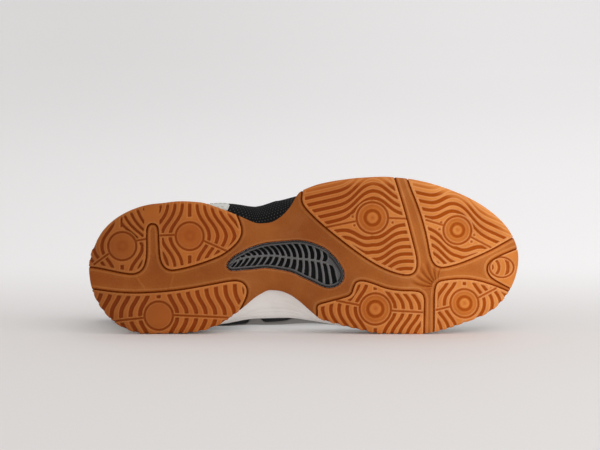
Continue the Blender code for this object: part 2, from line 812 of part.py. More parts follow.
def resting_turn(pieces):
    """Turn that lays the shoe on the medial facet of its hull that carries its centre."""
    bm = bmesh.new()
    for piece in pieces:
        for vert in piece.data.vertices:
            bm.verts.new(vert.co)
    hull = bmesh.ops.convex_hull(bm, input=bm.verts)["geom"]
    faces = [item for item in hull if isinstance(item, bmesh.types.BMFace)]
    centre = centre_of(pieces)
    down = Vector((0.0, 1.0, 0.0))
    for face in faces:
        face.normal_update()
        if face.normal.y < SIDEWAYS:
            continue
        foot = centre + face.normal * (face.verts[0].co - centre).dot(face.normal)
        if bmesh.geometry.intersect_face_point(face, foot):
            down = face.normal.copy()
    bm.free()
    up = -down
    ahead = Vector((1.0, 0.0, 0.0))
    ahead = (ahead - up * ahead.dot(up)).normalized()
    return Matrix((ahead, up.cross(ahead), up))


def lay_down(pieces):
    """Hangs the pieces on one empty that rests the shoe on the floor under its own middle."""
    turn = resting_turn(pieces)
    places = [turn @ vert.co for piece in pieces for vert in piece.data.vertices]
    low = [min(place[axis] for place in places) for axis in range(3)]
    high = [max(place[axis] for place in places) for axis in range(3)]
    shoe = bpy.data.objects.new("shoe", None)
    bpy.context.scene.collection.objects.link(shoe)
    shoe.rotation_euler = turn.to_euler()
    shoe.location = (-(low[0] + high[0]) / 2.0, -(low[1] + high[1]) / 2.0, -low[2])
    for piece in pieces:
        piece.parent = shoe


def main():
    """Builds the shoe."""
    for item in list(bpy.data.objects):
        bpy.data.objects.remove(item)
    pieces = [
        build_outsole(),
        build_shank(),
        build_midsole(),
        build_upper(),
        build_insole(),
        build_tongue(),
        build_overlay("toe_guard", OVERLAY_GAP, (
            (TOE_GUARD_BACK, LOOP - TOE_GUARD_BACK, TOE_GUARD),
        )),
        build_overlay("heel_counter", OVERLAY_GAP, (
            (0, COUNTER_LATERAL_FRONT, COUNTER_LATERAL),
            (LOOP - COUNTER_MEDIAL_FRONT, LOOP, COUNTER_MEDIAL),
        )),
        build_overlay("quarter_medial", OVERLAY_GAP, (
            (LOOP - QUARTER_FRONT, LOOP - QUARTER_BACK, QUARTER_MEDIAL),
        )),
        build_overlay("eyestay", EYESTAY_GAP, (
            (EYESTAY_BACK, EYESTAY_FRONT, EYESTAY),
            (LOOP - EYESTAY_FRONT, LOOP - EYESTAY_BACK, EYESTAY),
        )),
        build_lace(),
    ]
    for piece in pieces:
        finish(piece)
    lay_down(pieces)


main()
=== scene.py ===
"""Looks of a right indoor court shoe that lies on its medial side, with its sole to the camera.

Shapes are worked out in the shoe's own frame, in millimetres: x runs from heel to toe, +y is the medial side
and z is up from the tread. A place on the shoe's loop is u, from the heel round the lateral side, the toe and
the medial side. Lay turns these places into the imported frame.
"""

import json
import logging
import math
from dataclasses import dataclass
from enum import Enum
from typing import Callable

import bmesh
import bpy
import numpy as np
from mathutils import Matrix, Vector

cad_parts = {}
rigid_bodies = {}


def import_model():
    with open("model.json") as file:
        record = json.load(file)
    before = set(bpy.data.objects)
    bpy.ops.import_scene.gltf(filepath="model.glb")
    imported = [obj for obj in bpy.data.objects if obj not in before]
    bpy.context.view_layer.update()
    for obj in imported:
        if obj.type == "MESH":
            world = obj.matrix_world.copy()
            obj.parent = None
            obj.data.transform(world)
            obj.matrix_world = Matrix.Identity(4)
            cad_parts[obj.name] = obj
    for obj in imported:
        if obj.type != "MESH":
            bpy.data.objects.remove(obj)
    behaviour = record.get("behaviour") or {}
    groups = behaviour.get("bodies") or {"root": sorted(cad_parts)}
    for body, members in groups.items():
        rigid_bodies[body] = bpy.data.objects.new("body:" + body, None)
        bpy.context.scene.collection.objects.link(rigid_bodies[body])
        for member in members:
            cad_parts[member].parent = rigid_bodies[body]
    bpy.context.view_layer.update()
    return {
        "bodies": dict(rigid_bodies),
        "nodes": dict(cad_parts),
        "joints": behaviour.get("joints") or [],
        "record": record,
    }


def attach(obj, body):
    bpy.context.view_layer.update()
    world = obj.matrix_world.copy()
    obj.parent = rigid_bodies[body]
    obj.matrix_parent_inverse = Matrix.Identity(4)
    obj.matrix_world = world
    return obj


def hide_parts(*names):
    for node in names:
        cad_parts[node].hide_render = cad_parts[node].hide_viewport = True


MM = 0.001
TINY = 1e-9
LOG = logging.getLogger("court_shoe")

Array = np.ndarray
BMesh = bmesh.types.BMesh
Socket = bpy.types.NodeSocket
Piece = bpy.types.Object
Pair = tuple[float, float]
Place = tuple[float, float, float]
Colour = tuple[float, float, float]
Corners = tuple[Pair, ...]


class Table:
    """Rows of numbers, read between the rows by a cubic that never overshoots them."""

    def __init__(self, columns: str, *rows: tuple[float, ...]) -> None:
        """Keeps the rows.

        Args:
            columns: Names of the columns, the first of which says where each row is.
            rows: The rows in order.
        """
        values = np.array(rows, float)
        self.at = values[:, 0]
        self.values = dict(zip(columns.split()[1:], values[:, 1:].T))

    def read(self, column: str, at: Array) -> Array:
        """One column at given places.

        Args:
            column: Name of the column.
            at: The places, held to those of the first and last rows.

        Returns:
            The column's values there.
        """
        value = self.values[column]
        span = np.diff(self.at)
        rise = np.diff(value) / span
        before, after = rise[:-1], rise[1:]
        steady = before * after > 0.0
        slope = np.zeros_like(value)
        slope[1:-1] = np.where(steady, 2.0 * before * after / np.where(steady, before + after, 1.0), 0.0)
        at = np.clip(at, self.at[0], self.at[-1])
        left = np.clip(np.searchsorted(self.at, at, side="right") - 1, 0, len(span) - 1)
        s = (at - self.at[left]) / span[left]
        from_left = (1 + 2 * s) * (1 - s) ** 2 * value[left] + s * (1 - s) ** 2 * span[left] * slope[left]
        from_right = s * s * (3 - 2 * s) * value[left + 1] + s * s * (s - 1) * span[left] * slope[left + 1]
        return from_left + from_right


def ease(value: Array) -> Array:
    """A soft step from 0 to 1 over the values 0 to 1."""
    value = np.clip(value, 0.0, 1.0)
    return value * value * (3.0 - 2.0 * value)


def linear(red: float, green: float, blue: float) -> Colour:
    """Linear colour of a 0-255 screen colour."""
    shares = np.array((red, green, blue)) / 255.0
    return tuple(np.where(shares <= 0.04045, shares / 12.92, ((shares + 0.055) / 1.055) ** 2.4))


def unit(vectors: Array) -> Array:
    """The vectors at length one."""
    return vectors / np.maximum(np.linalg.norm(vectors, axis=-1, keepdims=True), TINY)


def softened(corners: Corners, passes: int = 3) -> Array:
    """A closed outline with its corners cut round.

    Args:
        corners: The corners in order.
        passes: How often each corner is cut.

    Returns:
        The points of the rounder outline.
    """
    points = np.array(corners, float)
    for _ in range(passes):
        ahead = np.roll(points, -1, axis=0)
        points = np.stack((0.75 * points + 0.25 * ahead, 0.25 * points + 0.75 * ahead), 1).reshape(-1, 2)
    return points


def outline_distance(points: Array, outline: Array) -> Array:
    """Distance of flat points from a closed outline.

    Args:
        points: Places in the plane.
        outline: Points of the outline in order.

    Returns:
        The distances, negative inside.
    """
    best = np.full(len(points), np.inf)
    within = np.zeros(len(points), bool)
    for start, end in zip(outline, np.roll(outline, -1, axis=0)):
        run = end - start
        rel = points - start
        share = np.clip(rel @ run / max(run @ run, TINY), 0.0, 1.0)
        best = np.minimum(best, ((rel - share[:, None] * run) ** 2).sum(1))
        if start[1] != end[1]:
            spans = (start[1] > points[:, 1]) != (end[1] > points[:, 1])
            within ^= spans & (rel[:, 0] < run[0] * rel[:, 1] / run[1])
    return np.sqrt(best) * np.where(within, -1.0, 1.0)


def segment_distance(points: Array, start: Pair, end: Pair) -> Array:
    """Distance of flat points from a straight piece of line.

    Args:
        points: Flat places.
        start: One end of the line.
        end: Its other end.

    Returns:
        The distances.
    """
    first = np.array(start, float)
    run = np.array(end, float) - first
    share = np.clip((points - first) @ run / (run @ run), 0.0, 1.0)
    return np.linalg.norm(points - first - share[:, None] * run, axis=1)


def lengths(line: Array) -> Array:
    """Lengths along a line up to each of its points."""
    return np.concatenate(([0.0], np.cumsum(np.linalg.norm(np.diff(line, axis=0), axis=1))))


@dataclass(frozen=True)
class Crease:
    """A soft trough in the upper, from one place of its loop and rib to another."""

    start: Pair
    end: Pair
    width: float
    depth: float


@dataclass
class Last:
    """The shoe's form: outline of the sole, heights of its layers and the skin of the upper."""

    length: float = 292.0
    ball_width: float = 106.0
    instep_height: float = 103.0
    wall: float = 2.2
    collar_wall: float = 6.5
    heel_round: float = 46.0
    toe_round: float = 75.0
    middle_at_heel: float = 5.0
    middle_at_toe: float = -2.5
    foot_back: float = 5.5
    foot_front: float = 286.5
    rubber: float = 4.6
    lug: float = 2.0
    rim_height: float = 1.0
    heel_bevel: float = 24.0
    heel_bevel_rise: float = 4.0
    arch_back: float = 92.0
    arch_front: float = 158.0
    arch_rise: float = 3.0
    toe_break: float = 216.0
    toe_spring: float = 13.0
    bumper_back: float = 258.0
    bumper_rise: float = 3.0
    crowding: float = 0.4
    rib_rise: float = 0.42
    rib_reach: float = 0.36
    ridge_slope: float = 0.30
    throat_end: float = 0.655
    pad_low: float = 0.50
    pad_full: float = 0.85
    pad_front: float = 0.42
    pad_fade: float = 0.06
    crease_scale: float = 0.16
    probe: float = 0.002
    rubber_table: Table = Table(
        "at lateral medial",
        (0.070, 0.399, 0.437), (0.164, 0.409, 0.423), (0.210, 0.419, 0.425), (0.257, 0.409, 0.415),
        (0.304, 0.367, 0.374), (0.351, 0.312, 0.287), (0.398, 0.264, 0.188), (0.421, 0.268, 0.163),
        (0.445, 0.300, 0.171), (0.468, 0.362, 0.198), (0.491, 0.457, 0.245), (0.515, 0.487, 0.306),
        (0.538, 0.506, 0.358), (0.585, 0.527, 0.400), (0.632, 0.538, 0.435), (0.678, 0.541, 0.462),
        (0.725, 0.531, 0.466), (0.772, 0.510, 0.475), (0.865, 0.475, 0.470), (0.983, 0.453, 0.525))
    foot_table: Table = Table(
        "at lateral medial",
        (0.050, 0.345, 0.345), (0.200, 0.345, 0.350), (0.300, 0.315, 0.335), (0.390, 0.245, 0.300),
        (0.460, 0.288, 0.305), (0.520, 0.372, 0.335), (0.600, 0.445, 0.380), (0.690, 0.475, 0.405),
        (0.780, 0.462, 0.412), (0.870, 0.430, 0.425), (0.970, 0.420, 0.450))
    stack_table: Table = Table(
        "at height", (0.05, 24.0), (0.25, 24.0), (0.42, 21.0), (0.68, 15.0), (0.98, 13.0))
    sections: Table = Table(
        "at top_x top_half top_z lean swell_lateral swell_medial",
        (0.000, 0.031, 0.000, 0.970, 6.0, 6.0, 6.0), (0.100, 0.045, 0.142, 0.960, 6.0, 6.0, 6.0),
        (0.200, 0.110, 0.250, 0.874, 8.0, 6.0, 4.0), (0.300, 0.226, 0.288, 0.718, 12.0, 13.0, 3.0),
        (0.380, 0.336, 0.283, 0.777, 16.0, 29.5, 8.5), (0.440, 0.408, 0.255, 0.922, 21.0, 34.0, 12.0),
        (0.475, 0.445, 0.208, 1.000, 33.0, 36.0, 10.5), (0.520, 0.507, 0.175, 0.918, 44.0, 27.0, 5.0),
        (0.600, 0.620, 0.137, 0.748, 55.0, 8.0, 2.0), (0.640, 0.671, 0.099, 0.675, 67.0, 4.0, 1.0),
        (0.655, 0.688, 0.000, 0.662, 90.0, 4.0, 1.0), (0.750, 0.767, 0.000, 0.597, 90.0, 3.0, 0.5),
        (0.850, 0.832, 0.000, 0.543, 90.0, 2.5, 0.5), (1.000, 0.877, 0.000, 0.505, 90.0, 2.0, 2.0))
    creases: tuple[Crease, ...] = (
        Crease((0.205, 0.17), (0.262, 0.20), 0.030, 0.45),
        Crease((0.318, 0.62), (0.335, 0.98), 0.012, 0.7),
        Crease((0.345, 0.58), (0.352, 0.98), 0.010, 0.5),
        Crease((0.672, 0.60), (0.660, 0.98), 0.012, 0.6),
    )

    def along(self, u: Array) -> tuple[Array, Array]:
        """Side and share of places on the loop.

        Args:
            u: Places on the loop.

        Returns:
            The sides, -1 lateral and 1 medial, and the shares of the way to the toe.
        """
        u = np.mod(u, 1.0)
        share = np.minimum(2.0 * u, 2.0 - 2.0 * u)
        share = share + self.crowding * np.sin(2.0 * np.pi * share) / (2.0 * np.pi)
        return np.where(u <= 0.5, -1.0, 1.0), share

    def place_at(self, share: float, side: int) -> float:
        """Where on the loop a share of the way to the toe is, on one side.

        Args:
            share: The share.
            side: -1 lateral, 1 medial.

        Returns:
            The place on the loop.
        """
        halves = np.linspace(0.0, 0.5, 2001)
        half = float(np.interp(share, self.along(halves)[1], halves))
        return half if side < 0 else 1.0 - half

    def middle(self, x: Array) -> Array:
        """Where the middle line of the sole runs."""
        return self.middle_at_heel + (self.middle_at_toe - self.middle_at_heel) * x / self.length

    def rounded(self, x: Array, back: float, front: float, rounds: Pair) -> Array:
        """How much of its width an outline keeps near its round ends.

        Args:
            x: Places from heel to toe.
            back: Where the outline starts.
            front: Where it ends.
            rounds: Lengths of its two round ends.

        Returns:
            The shares of the width.
        """
        heel = np.maximum(0.0, 1.0 - (x - back) / rounds[0])
        toe = np.maximum(0.0, 1.0 - (front - x) / rounds[1])
        return np.sqrt(np.maximum(0.0, 1.0 - heel ** 2)) * np.sqrt(np.maximum(0.0, 1.0 - toe ** 2))

    def edge(self, u: Array, table: Table, back: float, front: float) -> Array:
        """Places on an outline seen from above.

        Args:
            u: Places on the loop.
            table: Half widths of the outline.
            back: Where the outline starts.
            front: Where it ends.

        Returns:
            The places, at height zero.
        """
        side, share = self.along(u)
        x = back + (front - back) * (1.0 - np.cos(np.pi * share)) / 2.0
        way = x / self.length
        half = np.where(side > 0, table.read("medial", way), table.read("lateral", way))
        half = half * self.ball_width * self.rounded(x, back, front, (self.heel_round, self.toe_round))
        return np.stack((x, self.middle(x) + side * half, np.zeros_like(x)), -1)

    def rubber_edge(self, u: Array) -> Array:
        """The outline of the rubber."""
        return self.edge(u, self.rubber_table, 0.0, self.length)

    def foot_edge(self, u: Array) -> Array:
        """The outline of the upper where it meets the sole."""
        return self.edge(u, self.foot_table, self.foot_back, self.foot_front)

    def outward(self, u: Array, outline: Callable[[Array], Array]) -> Array:
        """Level directions out of an outline."""
        run = outline(u + self.probe) - outline(u - self.probe)
        return unit(np.stack((run[..., 1], -run[..., 0], np.zeros_like(u)), -1))

    def tread(self, x: Array) -> Array:
        """Height of the walking surface: heel bevel, arch and toe spring.

        Args:
            x: Places from heel to toe.

        Returns:
            The heights.
        """
        heel = np.maximum(0.0, 1.0 - x / self.heel_bevel)
        toe = np.maximum(0.0, (x - self.toe_break) / (self.length - self.toe_break))
        arch = np.clip((x - self.arch_back) / (self.arch_front - self.arch_back), 0.0, 1.0)
        rise = self.arch_rise * np.sin(np.pi * arch) ** 2
        return self.heel_bevel_rise * heel ** 2 + rise + self.toe_spring * toe ** 2

    def rim(self, x: Array) -> Array:
        """Top of the rubber's rim, higher round the toe."""
        bumper = np.maximum(0.0, (x - self.bumper_back) / (self.length - self.bumper_back))
        return self.tread(x) + self.rubber + self.rim_height + self.bumper_rise * bumper ** 1.5

    def feather(self, x: Array) -> Array:
        """Height where the upper stands on the sole."""
        return self.tread(x) + self.stack_table.read("height", x / self.length)

    def upper_point(self, u: Array, v: Array) -> Array:
        """Places on the plain outside of the upper.

        Args:
            u: Places on the loop.
            v: Shares from the foot to the top line.

        Returns:
            The places.
        """
        side, share = self.along(u)
        foot = self.foot_edge(u)
        foot[..., 2] = self.feather(foot[..., 0])
        out = self.outward(u, self.foot_edge)
        top_x = self.sections.read("top_x", share) * self.length
        half = self.sections.read("top_half", share) * self.ball_width
        top_z = self.sections.read("top_z", share) * self.instep_height
        top = np.stack((top_x, self.middle(top_x) + side * half, top_z), -1)
        lean = np.radians(self.sections.read("lean", share))
        swell = np.where(side > 0, self.sections.read("swell_medial", share),
                         self.sections.read("swell_lateral", share))
        up = np.array((0.0, 0.0, 1.0))
        low = foot + up * (self.rib_rise * (top_z - foot[..., 2]))[..., None] + out * swell[..., None]
        fall = np.cos(lean) + self.ridge_slope * out[..., 0] * np.sin(lean) ** 4
        reach = self.rib_reach * np.linalg.norm(top - foot, axis=-1)
        high = top + (out * np.sin(lean)[..., None] - up * fall[..., None]) * reach[..., None]
        v = v[..., None]
        w = 1.0 - v
        return foot * w ** 3 + low * 3.0 * v * w * w + high * 3.0 * v * v * w + top * v ** 3

    def relief(self, u: Array, v: Array) -> Array:
        """How far the creases stand off the plain upper.

        Args:
            u: Places on the loop.
            v: Shares from the foot to the top line.

        Returns:
            The heights, negative in a trough.
        """
        height = np.zeros_like(u)
        places = np.stack((np.mod(u, 1.0), v * self.crease_scale), -1).reshape(-1, 2)
        for crease in self.creases:
            start = (crease.start[0], crease.start[1] * self.crease_scale)
            end = (crease.end[0], crease.end[1] * self.crease_scale)
            apart = segment_distance(places, start, end).reshape(u.shape) / crease.width
            height += crease.depth * (0.45 * np.exp(-(apart - 1.2) ** 2 * 3.0) - np.exp(-apart ** 2 * 4.0))
        return height

    def normal(self, u: Array, v: Array) -> Array:
        """Directions out of the upper.

        Args:
            u: Places on the loop.
            v: Shares from the foot to the top line.

        Returns:
            The directions, of length one.
        """
        step = 0.0004
        v = np.clip(v, step, 1.0 - step)
        run = self.upper_point(u + step, v) - self.upper_point(u - step, v)
        climb = self.upper_point(u, v + step) - self.upper_point(u, v - step)
        return unit(np.cross(run, climb))

    def skin(self, u: Array, v: Array, off: Array | float) -> Array:
        """Places off the creased upper, along its own direction out."""
        away = np.broadcast_to(off, u.shape) + self.relief(u, v)
        return self.upper_point(u, v) + self.normal(u, v) * away[..., None]

    def wall_at(self, u: Array, v: Array) -> Array:
        """Thickness of the upper, padded at the collar.

        Args:
            u: Places on the loop.
            v: Shares from the foot to the top line.

        Returns:
            The thicknesses.
        """
        front = np.clip((self.pad_front - self.along(u)[1]) / self.pad_fade, 0.0, 1.0)
        pad = ease((v - self.pad_low) / (self.pad_full - self.pad_low)) * front
        return self.wall + (self.collar_wall - self.wall) * pad


class Lay:
    """Turns the shoe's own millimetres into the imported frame, from two places on its tread."""

    HEEL = np.array((60.0, 30.0, 0.0))
    BALL = np.array((190.0, -30.0, 0.0))

    def __init__(self, record: dict) -> None:
        """Reads the tread's two flat places.

        Args:
            record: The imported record.
        """
        mounts = {mount["name"]: mount for mount in record["mounts"]}
        heel = np.array(mounts["heel_tread"]["pos_m"])
        ball = np.array(mounts["ball_tread"]["pos_m"])
        up = -unit(np.array(mounts["heel_tread"]["axis"]))
        run = unit(ball - heel)
        across = np.cross(up, run)
        span = unit(self.BALL - self.HEEL)
        ahead = span[0] * run - span[1] * across
        medial = span[1] * run + span[0] * across
        self.turn = np.stack((ahead, medial, up), 1)
        self.origin = heel - self.turn @ self.HEEL * MM

    def world(self, points: Array) -> Array:
        """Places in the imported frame, in metres."""
        return points @ self.turn.T * MM + self.origin


class NodeMaker:
    """Adds and links nodes of one tree."""

    def __init__(self, tree: bpy.types.NodeTree) -> None:
        """Keeps the tree."""
        self.tree = tree

    def add(self, kind: str, inputs: dict | None = None, **settings: object) -> bpy.types.Node:
        """Adds a node.

        Args:
            kind: Its type without the ShaderNode prefix.
            inputs: Values or sockets for its input sockets, by name or index.
            settings: Values for its own properties.

        Returns:
            The node.
        """
        node = self.tree.nodes.new("ShaderNode" + kind)
        for name, value in settings.items():
            setattr(node, name, value)
        self.fill(node, inputs or {})
        return node

    def fill(self, node: bpy.types.Node, inputs: dict) -> None:
        """Sets or links a node's inputs.

        Args:
            node: The node.
            inputs: Values or sockets for its input sockets, by name or index.
        """
        for name, value in inputs.items():
            socket = node.inputs[name]
            if isinstance(value, Socket):
                self.tree.links.new(value, socket)
            else:
                opaque = socket.type == "RGBA" and len(value) == 3
                socket.default_value = (*value, 1.0) if opaque else value

    def math(self, operation: str, first: object, second: object) -> Socket:
        """The result of an operation on two values or sockets."""
        return self.add("Math", {0: first, 1: second}, operation=operation).outputs[0]

    def ramp(self, value: Socket, low: float, high: float) -> Socket:
        """A soft step of a value from low to high."""
        node = self.add("MapRange", {"Value": value, "From Min": low, "From Max": high},
                        interpolation_type="SMOOTHSTEP")
        return node.outputs["Result"]

    def mix(self, share: object, first: object, second: object) -> Socket:
        """A mix of two colours or sockets, by the share of the second."""
        node = self.add("Mix", {0: share, 6: first, 7: second}, data_type="RGBA", clamp_factor=True)
        return node.outputs[2]


class Effect(Enum):
    """Effects that several finishes share."""

    GRAIN = "moulded_grain"
    DOTS = "dot_rows"
    SOIL = "light_soil"


class Effects:
    """Builds each shared effect once."""

    def __init__(self) -> None:
        """Starts with none built."""
        self.groups: dict[Effect, bpy.types.NodeTree] = {}

    def get(self, effect: Effect) -> bpy.types.NodeTree:
        """The group of an effect, built when it is first asked for.

        Args:
            effect: The effect.

        Returns:
            The group.
        """
        if effect not in self.groups:
            makers = {Effect.GRAIN: self.grain, Effect.DOTS: self.dots, Effect.SOIL: self.soil}
            self.groups[effect] = makers[effect]()
        return self.groups[effect]

    def start(self, effect: Effect, ins: tuple[str, ...], outs: tuple[str, ...]) -> tuple:
        """Starts a group.

        Args:
            effect: The effect it makes.
            ins: Names of its inputs; Vector is a vector and the rest are values.
            outs: Names of its outputs, all values.

        Returns:
            The tree, its maker, its input node and its output node.
        """
        tree = bpy.data.node_groups.new(effect.value, "ShaderNodeTree")
        for name in ins:
            kind = "NodeSocketVector" if name == "Vector" else "NodeSocketFloat"
            tree.interface.new_socket(name=name, in_out="INPUT", socket_type=kind)
        for name in outs:
            tree.interface.new_socket(name=name, in_out="OUTPUT", socket_type="NodeSocketFloat")
        return tree, NodeMaker(tree), tree.nodes.new("NodeGroupInput"), tree.nodes.new("NodeGroupOutput")

    def grain(self) -> bpy.types.NodeTree:
        """Fine stipple of a moulded or coated surface, with slow blotches.

        Returns:
            The group.
        """
        tree, make, source, sink = self.start(Effect.GRAIN, ("Vector", "Scale"), ("Height", "Blotch"))
        fine = make.add("TexNoise", {"Vector": source.outputs["Vector"], "Scale": source.outputs["Scale"],
                                     "Detail": 4.0, "Roughness": 0.6})
        pits = make.add("TexVoronoi", {"Vector": source.outputs["Vector"], "Scale": source.outputs["Scale"]})
        slow = make.add("TexNoise", {"Vector": source.outputs["Vector"], "Scale": 38.0, "Detail": 3.0})
        height = make.math("ADD", fine.outputs["Fac"], make.math("MULTIPLY", pits.outputs["Distance"], 0.5))
        make.fill(sink, {"Height": height, "Blotch": slow.outputs["Fac"]})
        return tree

    def dots(self) -> bpy.types.NodeTree:
        """Staggered rows of small round dots, and the threads between them.

        Returns:
            The group.
        """
        tree, make, source, sink = self.start(Effect.DOTS, ("Vector", "Pitch", "Size"), ("Dot", "Thread"))
        turned = make.add("Mapping", {"Vector": source.outputs["Vector"],
                                      "Rotation": (0.0, 0.0, math.pi / 4.0)})
        scale = make.math("DIVIDE", 1.0, source.outputs["Pitch"])
        cells = make.add("TexVoronoi", {"Vector": turned.outputs["Vector"], "Scale": scale,
                                        "Randomness": 0.0}, voronoi_dimensions="2D")
        edge = make.math("SUBTRACT", source.outputs["Size"], cells.outputs["Distance"])
        thread = make.add("TexWave", {"Vector": source.outputs["Vector"], "Scale": 0.9, "Distortion": 1.5,
                                      "Detail": 1.0}, bands_direction="DIAGONAL")
        make.fill(sink, {"Dot": make.ramp(edge, -0.06, 0.06), "Thread": thread.outputs["Fac"]})
        return tree

    def soil(self) -> bpy.types.NodeTree:
        """Faint uneven dust, as a mask.

        Returns:
            The group.
        """
        tree, make, source, sink = self.start(Effect.SOIL, ("Vector", "Amount"), ("Mask",))
        cloud = make.add("TexNoise", {"Vector": source.outputs["Vector"], "Scale": 60.0, "Detail": 6.0,
                                      "Roughness": 0.65})
        mask = make.math("MULTIPLY", make.ramp(cloud.outputs["Fac"], 0.45, 0.75), source.outputs["Amount"])
        make.fill(sink, {"Mask": mask})
        return tree


EFFECTS = Effects()


@dataclass(frozen=True)
class Finish:
    """What every finish shares: a Principled surface with blotches and grain bump."""

    name: str
    colour: Colour
    roughness: float
    grain_scale: float
    grain_depth: float
    shade: Colour | None = None
    sheen: float = 0.0
    coat: float = 0.0
    specular: float = 0.5

    def material(self) -> bpy.types.Material:
        """The finish's material, made once.

        Returns:
            The material.
        """
        found = bpy.data.materials.get(self.name)
        if found:
            return found
        material = bpy.data.materials.new(self.name)
        material.use_nodes = True
        make = NodeMaker(material.node_tree)
        place = make.add("TexCoord").outputs["Object"]
        grain = make.add("Group", {"Vector": place, "Scale": self.grain_scale},
                         node_tree=EFFECTS.get(Effect.GRAIN))
        colour, height = self.surface(make, place, grain)
        rough = make.add("MapRange", {"Value": grain.outputs["Blotch"], "To Min": self.roughness - 0.08,
                                      "To Max": self.roughness + 0.08})
        bump = make.add("Bump", {"Height": height, "Strength": 1.0, "Distance": self.grain_depth * MM})
        make.fill(material.node_tree.nodes["Principled BSDF"], {
            "Base Color": colour, "Roughness": rough.outputs["Result"], "Normal": bump.outputs["Normal"],
            "Sheen Weight": self.sheen, "Coat Weight": self.coat, "Specular IOR Level": self.specular})
        return material

    def surface(self, make: NodeMaker, place: Socket, grain: bpy.types.Node) -> tuple[Socket, Socket]:
        """Colour and bump height.

        Args:
            make: Maker of the material's nodes.
            place: Object coordinates.
            grain: The grain group.

        Returns:
            The sockets of the colour and of the height.
        """
        dark = self.shade or tuple(0.72 * part for part in self.colour)
        colour = make.mix(make.ramp(grain.outputs["Blotch"], 0.3, 0.7), dark, self.colour)
        return colour, grain.outputs["Height"]


@dataclass(frozen=True)
class MouldedFinish(Finish):
    """A moulded surface with painted shade where the piece is deep, painted highlights on its crests and
    painted light and shade from heel to toe.
    """

    # Painted shade where the piece is deep.
    deep: Colour = (0.02, 0.01, 0.01)
    # Painted highlight on crests.
    painted_highlight: Colour = (0.80, 0.60, 0.40)
    soil: float = 0.10
    soil_colour: Colour = (0.55, 0.42, 0.30)
    # Painted shade and light from heel to toe: factors multiplied into the colour behind the heel, at the
    # heel and at the toe.
    back: Colour = (1.0, 1.0, 1.0)
    heel: Colour = (1.0, 1.0, 1.0)
    toe: Colour = (1.0, 1.0, 1.0)

    def surface(self, make: NodeMaker, place: Socket, grain: bpy.types.Node) -> tuple[Socket, Socket]:
        """Colour and bump height, with painted shade where the piece is deep, painted highlights and painted
        light and shade from heel to toe.

        Args:
            make: Maker of the material's nodes.
            place: Object coordinates.
            grain: The grain group.

        Returns:
            The sockets of the colour and of the height.
        """
        plain, height = Finish.surface(self, make, place, grain)
        dust = make.add("Group", {"Vector": place, "Amount": self.soil}, node_tree=EFFECTS.get(Effect.SOIL))
        dusty = make.mix(dust.outputs["Mask"], plain, self.soil_colour)
        ahead = make.add("SeparateXYZ", {"Vector": place}).outputs["X"]
        # Painted light and shade from heel to toe: darker at the heel, brighter towards the toe.
        painted_light_and_shade = make.mix(make.ramp(ahead, -0.14, -0.05), self.back, self.heel)
        painted_light_and_shade = make.mix(make.ramp(ahead, 0.0, 0.12), painted_light_and_shade, self.toe)
        # Painted highlight on crests, mixed into the colour.
        painted_highlight = make.add("Attribute", attribute_name="painted_highlight").outputs["Fac"]
        lit = make.mix(make.math("MULTIPLY", painted_highlight, 0.45), dusty, self.painted_highlight)
        # Painted shade where the piece is deep.
        depth = make.add("Attribute", attribute_name="depth").outputs["Fac"]
        with_painted_light = make.add("Mix", {0: 1.0, 6: make.mix(depth, lit, self.deep), 7: painted_light_and_shade},
                          data_type="RGBA", blend_type="MULTIPLY")
        return with_painted_light.outputs[2], height


@dataclass(frozen=True)
class MeshFinish(Finish):
    """A knitted mesh with rows of small dots, on the piece's own map in millimetres."""

    dot: Colour = (0.5, 0.5, 0.48)
    pitch: float = 2.1
    size: float = 0.20

    def surface(self, make: NodeMaker, place: Socket, grain: bpy.types.Node) -> tuple[Socket, Socket]:
        """Colour and bump height of dots and threads.

        Args:
            make: Maker of the material's nodes.
            place: Object coordinates.
            grain: The grain group.

        Returns:
            The sockets of the colour and of the height.
        """
        plain, height = Finish.surface(self, make, place, grain)
        rows = make.add("Group", {"Vector": make.add("UVMap").outputs["UV"], "Pitch": self.pitch,
                                  "Size": self.size}, node_tree=EFFECTS.get(Effect.DOTS))
        colour = make.mix(rows.outputs["Dot"], plain, self.dot)
        woven = make.math("MULTIPLY", rows.outputs["Thread"], 0.6)
        dented = make.math("MULTIPLY", rows.outputs["Dot"], -1.5)
        return colour, make.math("ADD", make.math("ADD", height, woven), dented)


# Gum: the deep colour is painted shade in grooves, the crest colour a painted highlight, back and heel darken
# as painted shade and toe brightens as painted light.
GUM = MouldedFinish("gum_rubber", linear(220, 124, 50), 0.50, 1500.0, 0.08, linear(206, 110, 40),
                    specular=0.12, deep=linear(172, 72, 0), painted_highlight=linear(246, 168, 100), soil=0.15,
                    soil_colour=linear(230, 150, 86), back=(0.51, 0.52, 0.52), heel=(0.76, 0.79, 0.80),
                    toe=(1.20, 1.50, 2.0))
# The channel rubber's back and heel factors are darker than the pods': painted shade in the recessed arch and
# channels.
GUM_CHANNEL = MouldedFinish("gum_channel", linear(210, 116, 46), 0.54, 900.0, 0.36, linear(194, 102, 38),
                            specular=0.12, deep=linear(158, 66, 0), painted_highlight=linear(242, 160, 92),
                            soil=0.25, soil_colour=linear(226, 146, 86), back=(0.62, 0.67, 0.67),
                            heel=(0.585, 0.64, 0.69), toe=(1.15, 1.40, 1.75))
